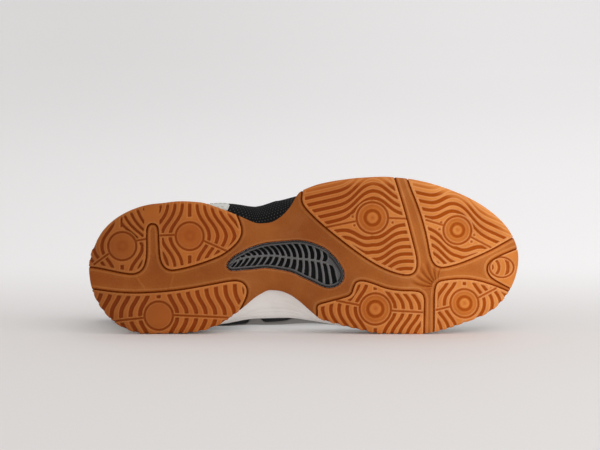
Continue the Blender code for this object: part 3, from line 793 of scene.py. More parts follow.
# The plate's deep colour is painted shade in its gaps, and its crest colour a painted highlight on the barbs.
SHANK_PLASTIC = MouldedFinish("shank_plastic", linear(51, 49, 49), 0.32, 900.0, 0.02, linear(44, 42, 42),
                              coat=0.10, specular=0.25, deep=linear(10, 10, 11),
                              painted_highlight=linear(172, 171, 170), soil=0.05, soil_colour=linear(110, 107, 102))
SHANK_HOLLOW = Finish("shank_hollow", linear(34, 34, 35), 0.80, 900.0, 0.02, linear(24, 24, 25),
                      specular=0.08)
FOAM = MouldedFinish("white_foam", linear(250, 247, 244), 0.60, 2200.0, 0.03, linear(244, 240, 236),
                     deep=linear(140, 136, 132), soil=0.10, soil_colour=linear(190, 184, 176))
MESH = MeshFinish("upper_mesh", linear(9, 9, 10), 0.85, 2600.0, 0.10, linear(5, 5, 6), specular=0.15,
                  dot=linear(82, 84, 81), pitch=1.95, size=0.15)
LINING = MeshFinish("knit_lining", linear(40, 40, 42), 0.92, 2600.0, 0.10, linear(28, 28, 30), sheen=0.25,
                    dot=linear(18, 18, 19), pitch=1.6, size=0.22)
COVER = MeshFinish("insole_cover", linear(54, 54, 57), 0.95, 2600.0, 0.08, linear(40, 40, 43), sheen=0.2,
                   dot=linear(30, 30, 32), pitch=2.4, size=0.26)
GREY_LEATHER = Finish("grey_leather", linear(122, 118, 113), 0.52, 1300.0, 0.06, linear(108, 104, 99))
PALE_LEATHER = Finish("pale_leather", linear(214, 214, 208), 0.50, 1300.0, 0.05, linear(204, 204, 198))
BLACK_LEATHER = Finish("black_leather", linear(30, 30, 31), 0.55, 1300.0, 0.06, linear(20, 20, 21))
LACE_WEAVE = MeshFinish("lace_weave", linear(30, 30, 31), 0.90, 2600.0, 0.10, linear(18, 18, 19), sheen=0.2,
                        dot=linear(52, 52, 54), pitch=1.1, size=0.30)
THREAD = Finish("stitch_thread", linear(58, 57, 55), 0.75, 3000.0, 0.05)
PALE_THREAD = Finish("pale_thread", linear(190, 190, 184), 0.75, 3000.0, 0.05)
EYELET = Finish("eyelet_ring", linear(20, 20, 21), 0.45, 1500.0, 0.03)


class Workshop:
    """Makes meshes in the shoe's frame and puts them in the scene as pieces of the one body."""

    SNAP = 0.72
    MERGE = 0.0005
    STITCH_RADIUS = 0.30
    STITCH_SHARE = 0.68

    def __init__(self, lay: Lay) -> None:
        """Keeps how the shoe lies."""
        self.lay = lay

    def grid(self, columns: int, rows: int, place: Callable[[Array, Array], Array],
             chart: Callable[[Array, Array], Array] | None = None) -> BMesh:
        """A grid laid over a surface.

        Args:
            columns: Faces along the first share.
            rows: Faces along the second share.
            place: Takes arrays of two shares and returns places in millimetres.
            chart: Takes the same shares and returns the flat map, in millimetres.

        Returns:
            The mesh, in millimetres.
        """
        bm = bmesh.new()
        bmesh.ops.create_grid(bm, x_segments=columns, y_segments=rows, size=0.5)
        shares = np.array([vert.co.xy for vert in bm.verts]) + 0.5
        shares = np.round(shares * (columns, rows)) / (columns, rows)
        points = place(shares[:, 0], shares[:, 1])
        if chart:
            flat = chart(shares[:, 0], shares[:, 1])
            layer = bm.loops.layers.uv.new("map")
            for face in bm.faces:
                for loop in face.loops:
                    loop[layer].uv = flat[loop.vert.index]
        for vert, point in zip(bm.verts, points):
            vert.co = point
        return bm

    def trimmed(self, step: float, low: Array, high: Array, distance: Callable[[Array], Array]) -> BMesh:
        """A flat grid trimmed to an outline, with its border moved onto the outline.

        Args:
            step: Size of its faces.
            low: Lowest corner of the grid.
            high: Highest corner.
            distance: Distance of flat points from the outline, negative inside.

        Returns:
            The mesh, flat at height zero.
        """
        counts = np.ceil((high - low) / step).astype(int)
        bm = bmesh.new()
        bmesh.ops.create_grid(bm, x_segments=int(counts[0]), y_segments=int(counts[1]), size=0.5)
        bmesh.ops.triangulate(bm, faces=bm.faces)
        shares = np.array([vert.co.xy for vert in bm.verts]) + 0.5
        points = low + shares * (high - low)
        apart = distance(points)
        near = np.abs(apart) < self.SNAP * step
        nudge = 0.05
        for _ in range(2):
            edge = points[near]
            reach = distance(edge)
            slope = np.stack([(distance(edge + shift) - distance(edge - shift)) / (2.0 * nudge)
                              for shift in np.eye(2) * nudge], 1)
            points[near] -= reach[:, None] * slope / np.maximum((slope ** 2).sum(1), 0.25)[:, None]
        outside = (apart > 0.0) & ~near
        for vert, point in zip(bm.verts, points):
            vert.co = (point[0], point[1], 0.0)
        bmesh.ops.delete(bm, geom=[vert for vert, gone in zip(bm.verts, outside) if gone], context="VERTS")
        return bm

    def flat_points(self, bm: BMesh) -> Array:
        """Plan places of a mesh's vertices."""
        return np.array([vert.co.xy for vert in bm.verts])

    def set_heights(self, bm: BMesh, heights: Array) -> None:
        """Gives each vertex its height."""
        for vert, height in zip(bm.verts, heights):
            vert.co.z = height

    def set_mask(self, bm: BMesh, name: str, values: Array) -> None:
        """Keeps a value at each vertex for the finish, such as how deep it lies.

        Args:
            bm: The mesh.
            name: Name of the attribute.
            values: A value for each vertex.
        """
        layer = bm.verts.layers.float.new(name)
        for vert, value in zip(bm.verts, values):
            vert[layer] = value

    def rim_edges(self, bm: BMesh) -> list[bmesh.types.BMEdge]:
        """Edges on the border of an open mesh."""
        return [edge for edge in bm.edges if edge.is_boundary]

    def extrude(self, bm: BMesh, edges: list[bmesh.types.BMEdge]) -> tuple[list, list]:
        """Extrudes border edges in place.

        Args:
            bm: The mesh.
            edges: Its border edges.

        Returns:
            The new vertices and the new border edges.
        """
        made = bmesh.ops.extrude_edge_only(bm, edges=edges)["geom"]
        verts = [item for item in made if isinstance(item, bmesh.types.BMVert)]
        lines = [item for item in made if isinstance(item, bmesh.types.BMEdge) and item.is_boundary]
        return verts, lines

    def stitch(self, bm: BMesh, line: Array, out: Array, pitch: float) -> None:
        """Adds a row of stitches along a line.

        Args:
            bm: The mesh that they go into.
            line: Places along the line.
            out: Directions off the cloth at those places.
            pitch: From one stitch to the next.
        """
        along = lengths(line)
        spots = np.arange(pitch / 2.0, along[-1], pitch)
        centre, ahead, off = (np.stack([np.interp(at, along, track) for track in table.T], 1)
                              for at, table in ((spots, line), (spots + 0.5, line), (spots, out)))
        for place, front, away in zip(centre, ahead, off):
            run = Vector(front - place).normalized()
            side = run.cross(Vector(away)).normalized()
            turn = Matrix((side, side.cross(run) * -1.0, run)).transposed().to_4x4()
            bmesh.ops.create_cone(bm, cap_ends=True, segments=6, radius1=self.STITCH_RADIUS,
                                  radius2=self.STITCH_RADIUS, depth=self.STITCH_SHARE * pitch,
                                  matrix=Matrix.Translation(place) @ turn)

    def join(self, whole: BMesh, part: BMesh) -> None:
        """Adds one mesh to another.

        Args:
            whole: The mesh that grows.
            part: The mesh that is added, which is used up.
        """
        mesh = bpy.data.meshes.new("part")
        part.to_mesh(mesh)
        part.free()
        whole.from_mesh(mesh)
        bpy.data.meshes.remove(mesh)

    def finish(self, name: str, bm: BMesh, finishes: list[Finish], slot: str,
               closed: bool = True, replaces: bool = True, smooth: float = 60.0) -> Piece:
        """Turns a mesh into a piece that rides on the body.

        Args:
            name: The piece's name.
            bm: Its mesh, in the shoe's millimetres, which is used up.
            finishes: Its finishes, by material index.
            slot: Name of the imported node that it hides when it replaces it.
            closed: Whether its faces can be turned outwards.
            replaces: Whether it stands for the node that has the slot's name.
            smooth: Edges sharper than this many degrees stay sharp.

        Returns:
            The piece.
        """
        bmesh.ops.remove_doubles(bm, verts=bm.verts, dist=self.MERGE)
        bmesh.ops.dissolve_degenerate(bm, edges=bm.edges, dist=self.MERGE)
        if closed:
            bmesh.ops.recalc_face_normals(bm, faces=bm.faces)
        points = self.lay.world(np.array([vert.co for vert in bm.verts]))
        for vert, point in zip(bm.verts, points):
            vert.co = point
        for face in bm.faces:
            face.smooth = True
        mesh = bpy.data.meshes.new(name)
        bm.to_mesh(mesh)
        bm.free()
        mesh.set_sharp_from_angle(angle=math.radians(smooth))
        for finish in finishes:
            mesh.materials.append(finish.material())
        piece = bpy.data.objects.new(name, mesh)
        bpy.context.scene.collection.objects.link(piece)
        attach(piece, "root")
        if replaces:
            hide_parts(slot)
        return piece


class Disc(Enum):
    """Kinds of round pad in the tread."""

    FLAT = "flat"
    PLAIN = "plain"
    BUTTON = "button"


class Flow(Enum):
    """Which way the ribs of a pod run past its disc."""

    LENGTHWISE = "lengthwise"
    ACROSS = "across"


@dataclass(frozen=True)
class Pad:
    """A disc of the tread with the ribs that part round it and the spokes that lead to it."""

    centre: Pair
    ring: float
    disc: Disc
    flow: Flow
    pitch: float
    width: float
    bulge: float
    spread: float
    first: float = 0.0
    fan: float = 0.0
    tilt_back: float = 0.0
    tilt_front: float = 0.0
    inner: float = 0.0
    spokes: tuple[tuple[Pair, Pair], ...] = ()
    pits: tuple[Pair, ...] = ()
    power: float = 2.6
    ring_width: float = 1.45
    spoke_width: float = 1.25
    land: float = 1.0
    margin: float = 0.75
    wall: float = 0.9
    pit: float = 0.85
    spoke_share: float = 0.85
    pit_share: float = 0.7

    def grooves(self, points: Array, border: Array, deep: float) -> tuple[Array, Array]:
        """Depth of the pad's grooves.

        Args:
            points: Flat places.
            border: Their distance from the pod's border, negative inside.
            deep: Depth of a rib groove.

        Returns:
            The depths, and the distances from the nearest groove.
        """
        rel = points - np.array(self.centre)
        radius = np.linalg.norm(rel, axis=1)
        ribs = np.maximum(self.ribs(rel), self.ring + self.ring_width / 2.0 + self.land - radius)
        ribs = np.maximum(ribs, border + self.margin + self.land)
        depth = np.zeros(len(points))
        nearest = np.abs(radius - self.ring) - self.ring_width / 2.0
        for start, end in self.spokes:
            apart = segment_distance(points, start, end)
            ribs = np.maximum(ribs, self.spoke_width / 2.0 + self.land - apart)
            clear = np.maximum(apart - self.spoke_width / 2.0, self.ring - radius)
            nearest = np.minimum(nearest, clear)
            depth = np.maximum(depth, self.spoke_share * deep * self.cut(clear))
        for pit in self.pits:
            clear = np.linalg.norm(points - np.array(pit), axis=1) - self.pit
            ribs = np.maximum(ribs, 0.9 - clear)
            nearest = np.minimum(nearest, clear)
            depth = np.maximum(depth, self.pit_share * deep * self.cut(clear))
        depth = np.maximum(depth, deep * self.cut(ribs))
        return np.maximum(depth, self.disc_depth(radius, deep)), np.minimum(nearest, ribs)

    def cut(self, apart: Array) -> Array:
        """Profile of a groove's wall, 1 inside it."""
        return ease(0.5 - apart / self.wall)

    def ribs(self, rel: Array) -> Array:
        """Distance from the nearest rib groove.

        Args:
            rel: Flat places, from the disc's centre.

        Returns:
            The distances, negative in a groove.
        """
        if self.flow is Flow.LENGTHWISE:
            down, across = rel[:, 0], rel[:, 1]
            across = across - np.where(down < 0.0, self.tilt_back, self.tilt_front) * down
        else:
            down, across = rel[:, 1], rel[:, 0]
            tilt = np.where(down < 0.0, self.tilt_back * (across > 0.0), self.tilt_front)
            across = across - tilt * down
        ratio = np.abs(down) / self.spread
        bell = np.exp(-ratio ** self.power)
        spread = 1.0 - self.fan * np.clip(np.abs(down) / 20.0, 0.0, 1.0)
        level = np.abs(across) / spread - self.bulge * bell
        lean = self.bulge * self.power / self.spread * ratio ** (self.power - 1.0) * bell
        index = np.maximum(np.round((level - self.first) / self.pitch), 0.0)
        apart = np.abs(level - self.first - index * self.pitch) / np.sqrt(1.0 + lean ** 2) - self.width / 2.0
        if self.first == 0.0:
            bar = np.maximum(np.abs(across) - self.width / 2.0, (bell - 0.26) * 12.0)
            apart = np.where(index == 0.0, bar, apart)
        return apart

    def disc_depth(self, radius: Array, deep: float) -> Array:
        """Depth of the disc and of the ring round it.

        Args:
            radius: Distances from the disc's centre.
            deep: Depth of a rib groove.

        Returns:
            The depths.
        """
        ring = 0.92 * deep * self.cut(np.abs(radius - self.ring) - self.ring_width / 2.0)
        if self.disc is Disc.BUTTON:
            inner = 0.95 * deep * ease(1.3 - np.abs(radius - self.inner) / 1.3)
            dish = 0.50 * deep * np.exp(-((radius - 0.5 * (self.inner + self.ring) - 0.2) / 1.6) ** 2)
            dimple = 0.45 * deep * np.exp(-(radius / 1.35) ** 2)
            return np.maximum.reduce((ring, inner, dish * (radius < self.ring), dimple))
        lowered = 0.34 * deep * ease((self.ring - radius) / 0.4)
        if self.disc is Disc.PLAIN:
            return np.maximum(ring, lowered)
        dimple = 0.22 * deep * np.exp(-((radius - 2.6) / 1.5) ** 2)
        return np.maximum(ring, lowered + dimple)


@dataclass(frozen=True)
class Pod:
    """A raised field of the tread: its border and the pads on it."""

    name: str
    border: Corners
    pads: tuple[Pad, ...] = ()
    split: float = 0.0
    band: float = 0.0
    nested: bool = False


HEEL_PADS = (
    Pad((22.6, -10.8), 9.55, Disc.FLAT, Flow.ACROSS, 5.6, 2.2, 8.2, 11.5, fan=0.08, tilt_back=0.42,
        spokes=(((13.0, -5.4), (3.4, 1.4)), ((31.4, -14.3), (39.0, -15.7)))),
    Pad((68.4, -17.5), 9.45, Disc.FLAT, Flow.ACROSS, 5.75, 2.3, 7.6, 11.8, fan=0.14,
        spokes=(((58.5, -18.4), (48.5, -18.0)), ((78.0, -14.3), (93.0, -7.5)))),
)
MEDIAL_HEEL_PAD = Pad((47.4, 36.5), 9.6, Disc.PLAIN, Flow.ACROSS, 6.45, 2.65, 6.15, 10.6,
                      spokes=(((37.5, 38.0), (8.0, 41.0)), ((57.4, 36.2), (97.0, 38.0))))
PODS = (
    Pod("heel_lateral",
        ((-12.0, 1.2), (4.0, 2.8), (16.5, 5.6), (26.0, 7.6), (32.0, 7.6), (36.6, 4.5), (38.6, -2.0),
         (38.9, -10.0), (38.7, -20.0), (39.2, -24.2), (41.0, -26.2), (43.2, -26.6), (45.4, -26.2),
         (47.2, -24.2), (47.8, -20.0), (48.0, -12.0), (48.6, -3.0), (50.6, 2.6), (54.5, 5.2), (59.5, 5.0),
         (72.0, 2.0), (88.0, -3.6), (96.0, -9.0), (101.5, -14.5), (103.8, -20.5), (102.4, -26.5),
         (99.0, -34.0), (96.0, -60.0), (-12.0, -60.0)),
        HEEL_PADS, split=43.2, band=6.0),
    Pod("heel_medial",
        ((-12.0, 16.0), (6.0, 19.2), (21.0, 21.3), (37.0, 21.7), (60.0, 20.0), (84.0, 15.8), (97.0, 13.2),
         (103.5, 13.6), (107.0, 17.4), (107.0, 22.5), (104.5, 28.0), (100.0, 36.0), (98.0, 60.0),
         (-12.0, 60.0)),
        (MEDIAL_HEEL_PAD,)),
    Pod("ball_lateral",
        ((147.0, -72.0), (145.5, -47.0), (144.8, -41.5), (147.5, -36.5), (158.0, -26.0), (175.0, -12.2),
         (190.0, -1.2), (203.0, 5.8), (214.0, 9.0), (219.5, 8.4), (222.2, 4.8), (222.4, -2.0),
         (219.3, -14.5), (213.8, -36.0), (207.6, -56.0), (203.0, -72.0)),
        (Pad((192.5, -29.7), 10.65, Disc.BUTTON, Flow.LENGTHWISE, 4.95, 2.25, 9.9, 13.0, first=3.55,
             inner=5.0, tilt_back=-0.22, tilt_front=0.05,
             pits=((179.1, -30.6), (180.3, -24.6), (206.2, -26.4)),
             spokes=(((182.0, -27.6), (161.5, -23.4)), ((203.2, -29.6), (217.0, -29.0)))),)),
    Pod("toe_lateral",
        ((213.0, -72.0), (217.0, -55.0), (224.8, -36.0), (229.6, -19.0), (231.8, -5.8), (233.8, 0.6),
         (237.6, 3.6), (243.0, 3.4), (254.5, 0.0), (272.5, -8.0), (288.0, -17.0), (306.0, -27.0),
         (306.0, -72.0)),
        (Pad((250.3, -21.4), 9.5, Disc.BUTTON, Flow.LENGTHWISE, 5.15, 2.2, 8.9, 11.8, first=3.55, inner=4.4,
             tilt_back=0.24, tilt_front=0.42,
             pits=((239.2, -26.6), (238.0, -21.8), (261.8, -18.2), (259.9, -13.6)),
             spokes=(((240.8, -24.6), (229.0, -28.2)), ((259.2, -17.0), (273.0, -10.0)))),)),
    Pod("ball_medial",
        ((151.0, 62.0), (155.0, 42.0), (155.6, 34.0), (155.0, 30.2), (158.0, 28.8), (175.0, 24.6),
         (178.6, 22.6), (180.0, 18.0), (181.4, 14.4), (185.4, 13.2), (193.0, 15.4), (202.0, 19.0),
         (212.0, 20.4), (222.0, 20.4), (226.2, 22.0), (227.4, 26.0), (227.0, 34.0), (226.6, 62.0)),
        (Pad((194.3, 32.3), 10.6, Disc.BUTTON, Flow.ACROSS, 5.55, 2.3, 8.0, 11.6, fan=0.06, inner=5.2,
             spokes=(((183.9, 29.7), (168.0, 26.6)), ((204.9, 33.4), (226.0, 34.6)))),)),
    Pod("toe_medial",
        ((234.4, 62.0), (234.8, 32.0), (235.0, 20.0), (236.4, 15.0), (240.0, 13.2), (252.0, 12.0),
         (262.0, 12.6), (274.0, 15.8), (288.0, 21.4), (306.0, 29.0), (306.0, 62.0)),
        (Pad((254.9, 28.4), 9.6, Disc.BUTTON, Flow.ACROSS, 5.5, 2.2, 8.2, 11.0, fan=0.06, inner=4.6,
             spokes=(((245.6, 30.6), (235.6, 33.0)), ((264.2, 24.6), (276.5, 18.0)))),)),
    Pod("toe_tip",
        ((306.0, -14.5), (289.6, -8.2), (277.0, -2.6), (272.4, 0.6), (271.0, 4.0), (272.0, 8.4),
         (275.6, 11.8), (287.0, 17.6), (306.0, 26.0)),
        nested=True),
)


@dataclass
class Outsole:
    """Gum rubber sole: a base with channels, a rim and a window, and raised pods with grooves."""

    last: Last
    shop: Workshop
    pod_step: float = 0.46
    base_step: float = 0.5
    edge_inset: float = 0.6
    deep: float = 1.5
    overhang: float = 0.5
    teeth: float = 0.6
    strip: float = 0.5
    strip_width: float = 1.7
    channel: float = 1.5
    groove: float = 1.25
    floor: float = 2.0
    under: float = 2.5
    roll_width: float = 8.4
    pod_roll: float = 2.4
    base_roll: float = 1.5
    rim_rows: tuple[Pair, ...] = ((0.1, -1.1), (0.0, -0.5), (-0.5, 0.0), (-1.6, 0.0), (-1.8, -1.0))
    proud_from: float = 20.0
    proud_run: float = 30.0
    fade_from: float = 100.0
    fade_run: float = 40.0
    fade_back: float = 1.8
    fade_gain: float = 4.2
    waist: float = 125.0
    waist_reach: float = 34.0
    fan_centre: Pair = (237.0, 16.4)
    fan_sector: Pair = (148.0, 276.0)
    fan_blade: float = 178.0
    fan_pitch: float = 19.0
    fan_swirl: float = 1.1
    fan_height: float = 1.25
    tick_height: float = 0.55
    tip_centre: Pair = (272.4, 3.6)
    tip_oval: tuple[float, ...] = (280.6, 3.6, 8.4, 6.9)
    tip_arcs: tuple[Pair, ...] = ((2.2, 0.6), (6.4, 0.9), (12.6, 1.1))
    heel_ticks: tuple[tuple[Pair, Pair], ...] = (((32.3, 10.4), (37.6, 18.0)), ((57.2, 9.4), (54.8, 18.0)))

    def __post_init__(self) -> None:
        """Works out the outlines that every part of the sole reads."""
        self.edge = self.last.rubber_edge(np.linspace(0.0, 1.0, 360, endpoint=False))[:, :2]
        self.borders = {pod.name: softened(pod.border) for pod in PODS}
        self.window = Shank.outline_points()

    def from_edge(self, points: Array) -> Array:
        """How far places lie inside the outline of the rubber."""
        return -outline_distance(points, self.edge)

    def from_pods(self, points: Array) -> Array:
        """How far places lie from the nearest pod, negative on one."""
        return np.min([outline_distance(points, border) for border in self.borders.values()], axis=0)

    def proud(self, points: Array) -> Array:
        """How far the tread stands past the outline: none where the shoe lies on the floor."""
        return self.overhang * ease((self.proud_from - points[:, 1]) / self.proud_run)

    def roll(self, inset: Array, amount: float) -> Array:
        """How far the tread rolls up near its edge."""
        return amount * np.clip(1.0 - inset / self.roll_width, 0.0, 1.2) ** 3

    def build(self) -> list[Piece]:
        """Makes the base and then the pods."""
        return [self.build_base(), *(self.build_pod(pod) for pod in PODS)]

    def build_pod(self, pod: Pod) -> Piece:
        """Makes one pod with its grooves, closed underneath inside the base.

        Args:
            pod: The pod.

        Returns:
            The piece.
        """
        border = self.borders[pod.name]

        def distance(points: Array) -> Array:
            """Distance from the pod's border, toothed by its grooves, negative on it."""
            inner = outline_distance(points, border)
            inset = self.from_edge(points)
            cut = self.pod_depth(pod, points, inner, inset)[0] / self.deep
            return np.maximum(inner, -inset - self.proud(points) + self.teeth * cut)

        low = np.maximum(border.min(0), self.edge.min(0) - 1.0)
        high = np.minimum(border.max(0), self.edge.max(0) + 1.0)
        bm = self.shop.trimmed(self.pod_step, low, high, distance)
        points = self.shop.flat_points(bm)
        inset = self.from_edge(points)
        inner = outline_distance(points, border)
        depth, nearest = self.pod_depth(pod, points, inner, inset)
        fallen = 0.25 * ease(1.0 + inner / 0.6) ** 2
        heights = self.last.tread(points[:, 0]) + self.roll(inset, self.pod_roll) + depth + fallen
        self.shop.set_heights(bm, heights)
        # Painted shade in the grooves, by their depth, and painted highlights along groove edges and the
        # pod's border.
        self.shop.set_mask(bm, "depth", np.clip(depth / self.deep, 0.0, 1.0))
        nearest = np.minimum(np.abs(nearest - 0.3), np.abs(inner + 0.4))
        self.shop.set_mask(bm, "painted_highlight", np.exp(-(nearest / 0.4) ** 2))
        verts, lines = self.shop.extrude(bm, self.shop.rim_edges(bm))
        for vert in verts:
            vert.co.z += self.under
        bmesh.ops.triangle_fill(bm, use_beauty=True, edges=lines)
        return self.shop.finish("tread_" + pod.name, bm, [GUM], "outsole", replaces=False, smooth=75.0)

    def pod_depth(self, pod: Pod, points: Array, inner: Array, inset: Array) -> tuple[Array, Array]:
        """Grooves of a pod.

        Args:
            pod: The pod.
            points: Flat places on it.
            inner: Their distance from its border, negative inside.
            inset: Their distance from the edge of the rubber.

        Returns:
            The depths, and the distances from the nearest groove.
        """
        if pod.nested:
            return self.tip_depth(points, inset)
        depth = np.zeros(len(points))
        nearest = np.full(len(points), 10.0)
        for index, pad in enumerate(pod.pads):
            part, apart = pad.grooves(points, inner, self.deep)
            if len(pod.pads) > 1:
                beyond = (points[:, 0] - pod.split) * (1.0 if index == 0 else -1.0)
                outside = (points[:, 1] < -22.0) & (beyond > -pod.band * (1.0 if index == 0 else 0.8))
                gone = (beyond > 0.0) | outside
                part = np.where(gone, 0.0, part)
                apart = np.where(gone, 10.0, apart)
            depth = np.maximum(depth, part)
            nearest = np.minimum(nearest, apart)
        lateral = ease((-points[:, 1] - 14.0) / 8.0)
        fade = self.fade_back + self.fade_gain * ease((points[:, 0] - self.fade_from) / self.fade_run)
        return depth * (1.0 - lateral * (1.0 - ease((inset - 0.3) / fade))), nearest

    def tip_depth(self, points: Array, inset: Array) -> tuple[Array, Array]:
        """Grooves of the toe's tip: an oval line and arcs.

        Args:
            points: Flat places.
            inset: Their distance from the edge of the rubber.

        Returns:
            The depths, and the distances from the nearest groove.
        """
        middle, radii = np.array(self.tip_oval[:2]), np.array(self.tip_oval[2:])
        within = (np.linalg.norm((points - middle) / radii, axis=1) - 1.0) * radii.mean()
        apart = np.maximum(np.abs(within) - 0.55, 1.2 - inset)
        radius = np.linalg.norm(points - np.array(self.tip_centre), axis=1)
        for arc, half in self.tip_arcs:
            apart = np.minimum(apart, np.maximum(np.abs(radius - arc) - half, within + 1.5))
        return self.deep * 0.9 * ease(0.5 - apart / 0.8), apart

    def base_height(self, points: Array) -> tuple[Array, Array, Array]:
        """The base's surface between the pods.

        Args:
            points: Flat places.

        Returns:
            The heights, the painted shade of each place, from how deep it looks, and its painted highlight
            near crests.
        """
        apart = self.from_pods(points)
        inset = self.from_edge(points)
        hollow = self.strip + (self.channel - self.strip) * self.trough(apart)
        arch = ease(1.0 - np.abs(points[:, 0] - self.waist) / self.waist_reach)
        hollow = hollow + (0.8 - hollow) * arch * 0.7
        ridges = self.ridges(points)
        hollow -= ridges
        hollow += 0.3 * ease(1.0 - (apart - self.groove) / 0.5) * (apart > self.groove - 0.3)
        sunk = self.roll(inset, self.pod_roll) + self.floor
        plain = hollow + self.roll(inset, self.base_roll)
        wall = ease((apart - self.groove + 0.45) / 0.45)
        height = np.where(apart < 0.0, sunk + 0.6, sunk + (plain - sunk) * wall)
        window = outline_distance(points, self.window)
        # Painted shade: darker in the grooves round the pods, round the window and in the channels, less on
        # the ridges.
        depth = np.maximum((1.0 - wall) * 1.3, 1.2 * ease(1.0 - window / 0.5))
        depth = np.maximum(depth, 0.35 * self.trough(apart) * (1.0 - arch))
        depth = np.clip(depth - ridges * 0.9 * (apart > self.groove), 0.0, 1.3)
        # Painted highlight along the strip beside each pod, away from the arch, and round the window.
        line = np.abs(apart - self.groove - self.strip_width + 0.3)
        painted_highlight = np.maximum(np.exp(-(line / 0.4) ** 2) * 0.7 * (1.0 - arch),
                           0.8 * np.exp(-((window - 1.0) / 0.5) ** 2))
        return height + self.last.tread(points[:, 0]), depth, painted_highlight

    def trough(self, apart: Array) -> Array:
        """Profile across a channel: a step past the strip along each pod, then a shallow hollow."""
        past = apart - self.groove - self.strip_width
        return 0.6 * ease(past / 0.55 + 0.5) + 0.4 * ease((past - 0.4) / 2.6)

    def ridges(self, points: Array) -> Array:
        """Small ridges in the channels: a fan where they meet and two ticks at the heel.

        Args:
            points: Flat places.

        Returns:
            The heights.
        """
        rel = points - np.array(self.fan_centre)
        radius = np.linalg.norm(rel, axis=1)
        angle = np.degrees(np.arctan2(rel[:, 1], rel[:, 0])) % 360.0
        angle = angle - self.fan_swirl * radius
        blades = np.cos(np.radians((angle - self.fan_blade) * 360.0 / self.fan_pitch)) * 0.5 + 0.5
        sector = ease((angle - self.fan_sector[0]) / 12.0) * ease((self.fan_sector[1] - angle) / 12.0)
        reach = ease((radius - 2.0) / 2.5) * ease((20.5 - radius) / 7.0)
        height = self.fan_height * (blades - 0.35) * sector * reach
        for start, end in self.heel_ticks:
            height += self.tick_height * np.exp(-(segment_distance(points, start, end) / 0.6) ** 2)
        return height

    def build_base(self) -> Piece:
        """Makes the base: channels, window, side wall and rim, closed on top under the foam.

        Returns:
            The piece.
        """

        def distance(points: Array) -> Array:
            """Distance from the base's outline and window, negative on it."""
            past = ease((self.from_pods(points) + 0.4) / 1.2)
            out = self.edge_inset - (self.edge_inset + self.proud(points) - 0.1) * past
            return np.maximum(out - self.from_edge(points), -outline_distance(points, self.window))

        bm = self.shop.trimmed(self.base_step, self.edge.min(0) - 1.0, self.edge.max(0) + 1.0, distance)
        points = self.shop.flat_points(bm)
        heights, depths, painted_highlights = self.base_height(points)
        self.shop.set_heights(bm, heights)
        # Painted shade and painted highlights of the base, kept at each vertex.
        self.shop.set_mask(bm, "depth", depths)
        self.shop.set_mask(bm, "painted_highlight", painted_highlights)
        border = self.shop.rim_edges(bm)
        nudge = np.eye(2) * 0.05
        for shift, lift in self.rim_rows:
            verts, border = self.shop.extrude(bm, border)
            places = np.array([vert.co.xy for vert in verts])
            near_window = np.abs(outline_distance(places, self.window)) < 4.0
            out = unit(np.stack([self.from_edge(places - step) - self.from_edge(places + step)
                                 for step in nudge], 1))
            start = self.from_edge(places) - self.edge_inset
            places = np.where(near_window[:, None], places, places + out * (shift + start)[:, None])
            top = np.where(near_window, self.last.tread(places[:, 0]) + self.last.rubber,
                           self.last.rim(places[:, 0]) + lift)
            for vert, place, height in zip(verts, places, top):
                vert.co = (place[0], place[1], height)
        bmesh.ops.triangle_fill(bm, use_beauty=True, edges=border)
        return self.shop.finish("outsole_base", bm, [GUM_CHANNEL], "outsole")


@dataclass(frozen=True)
class Barbs:
    """The gaps on one side of the leaf's vein, which fan out and bow towards the toe."""

    side: int
    count: int
    vein: float
    vein_step: float
    rim: float
    rim_step: float
    rim_gain: float
    bow: float

    def line(self, index: int, share: Array) -> Array:
        """Where a gap runs.

        Args:
            index: The gap, counted from the heel.
            share: Shares of the way from vein to rim.

        Returns:
            Places from heel to toe.
        """
        near = self.vein + self.vein_step * index
        far = self.rim + self.rim_step * index + self.rim_gain * index ** 2
        return near + (far - near) * share + self.bow * share * (1.0 - share)


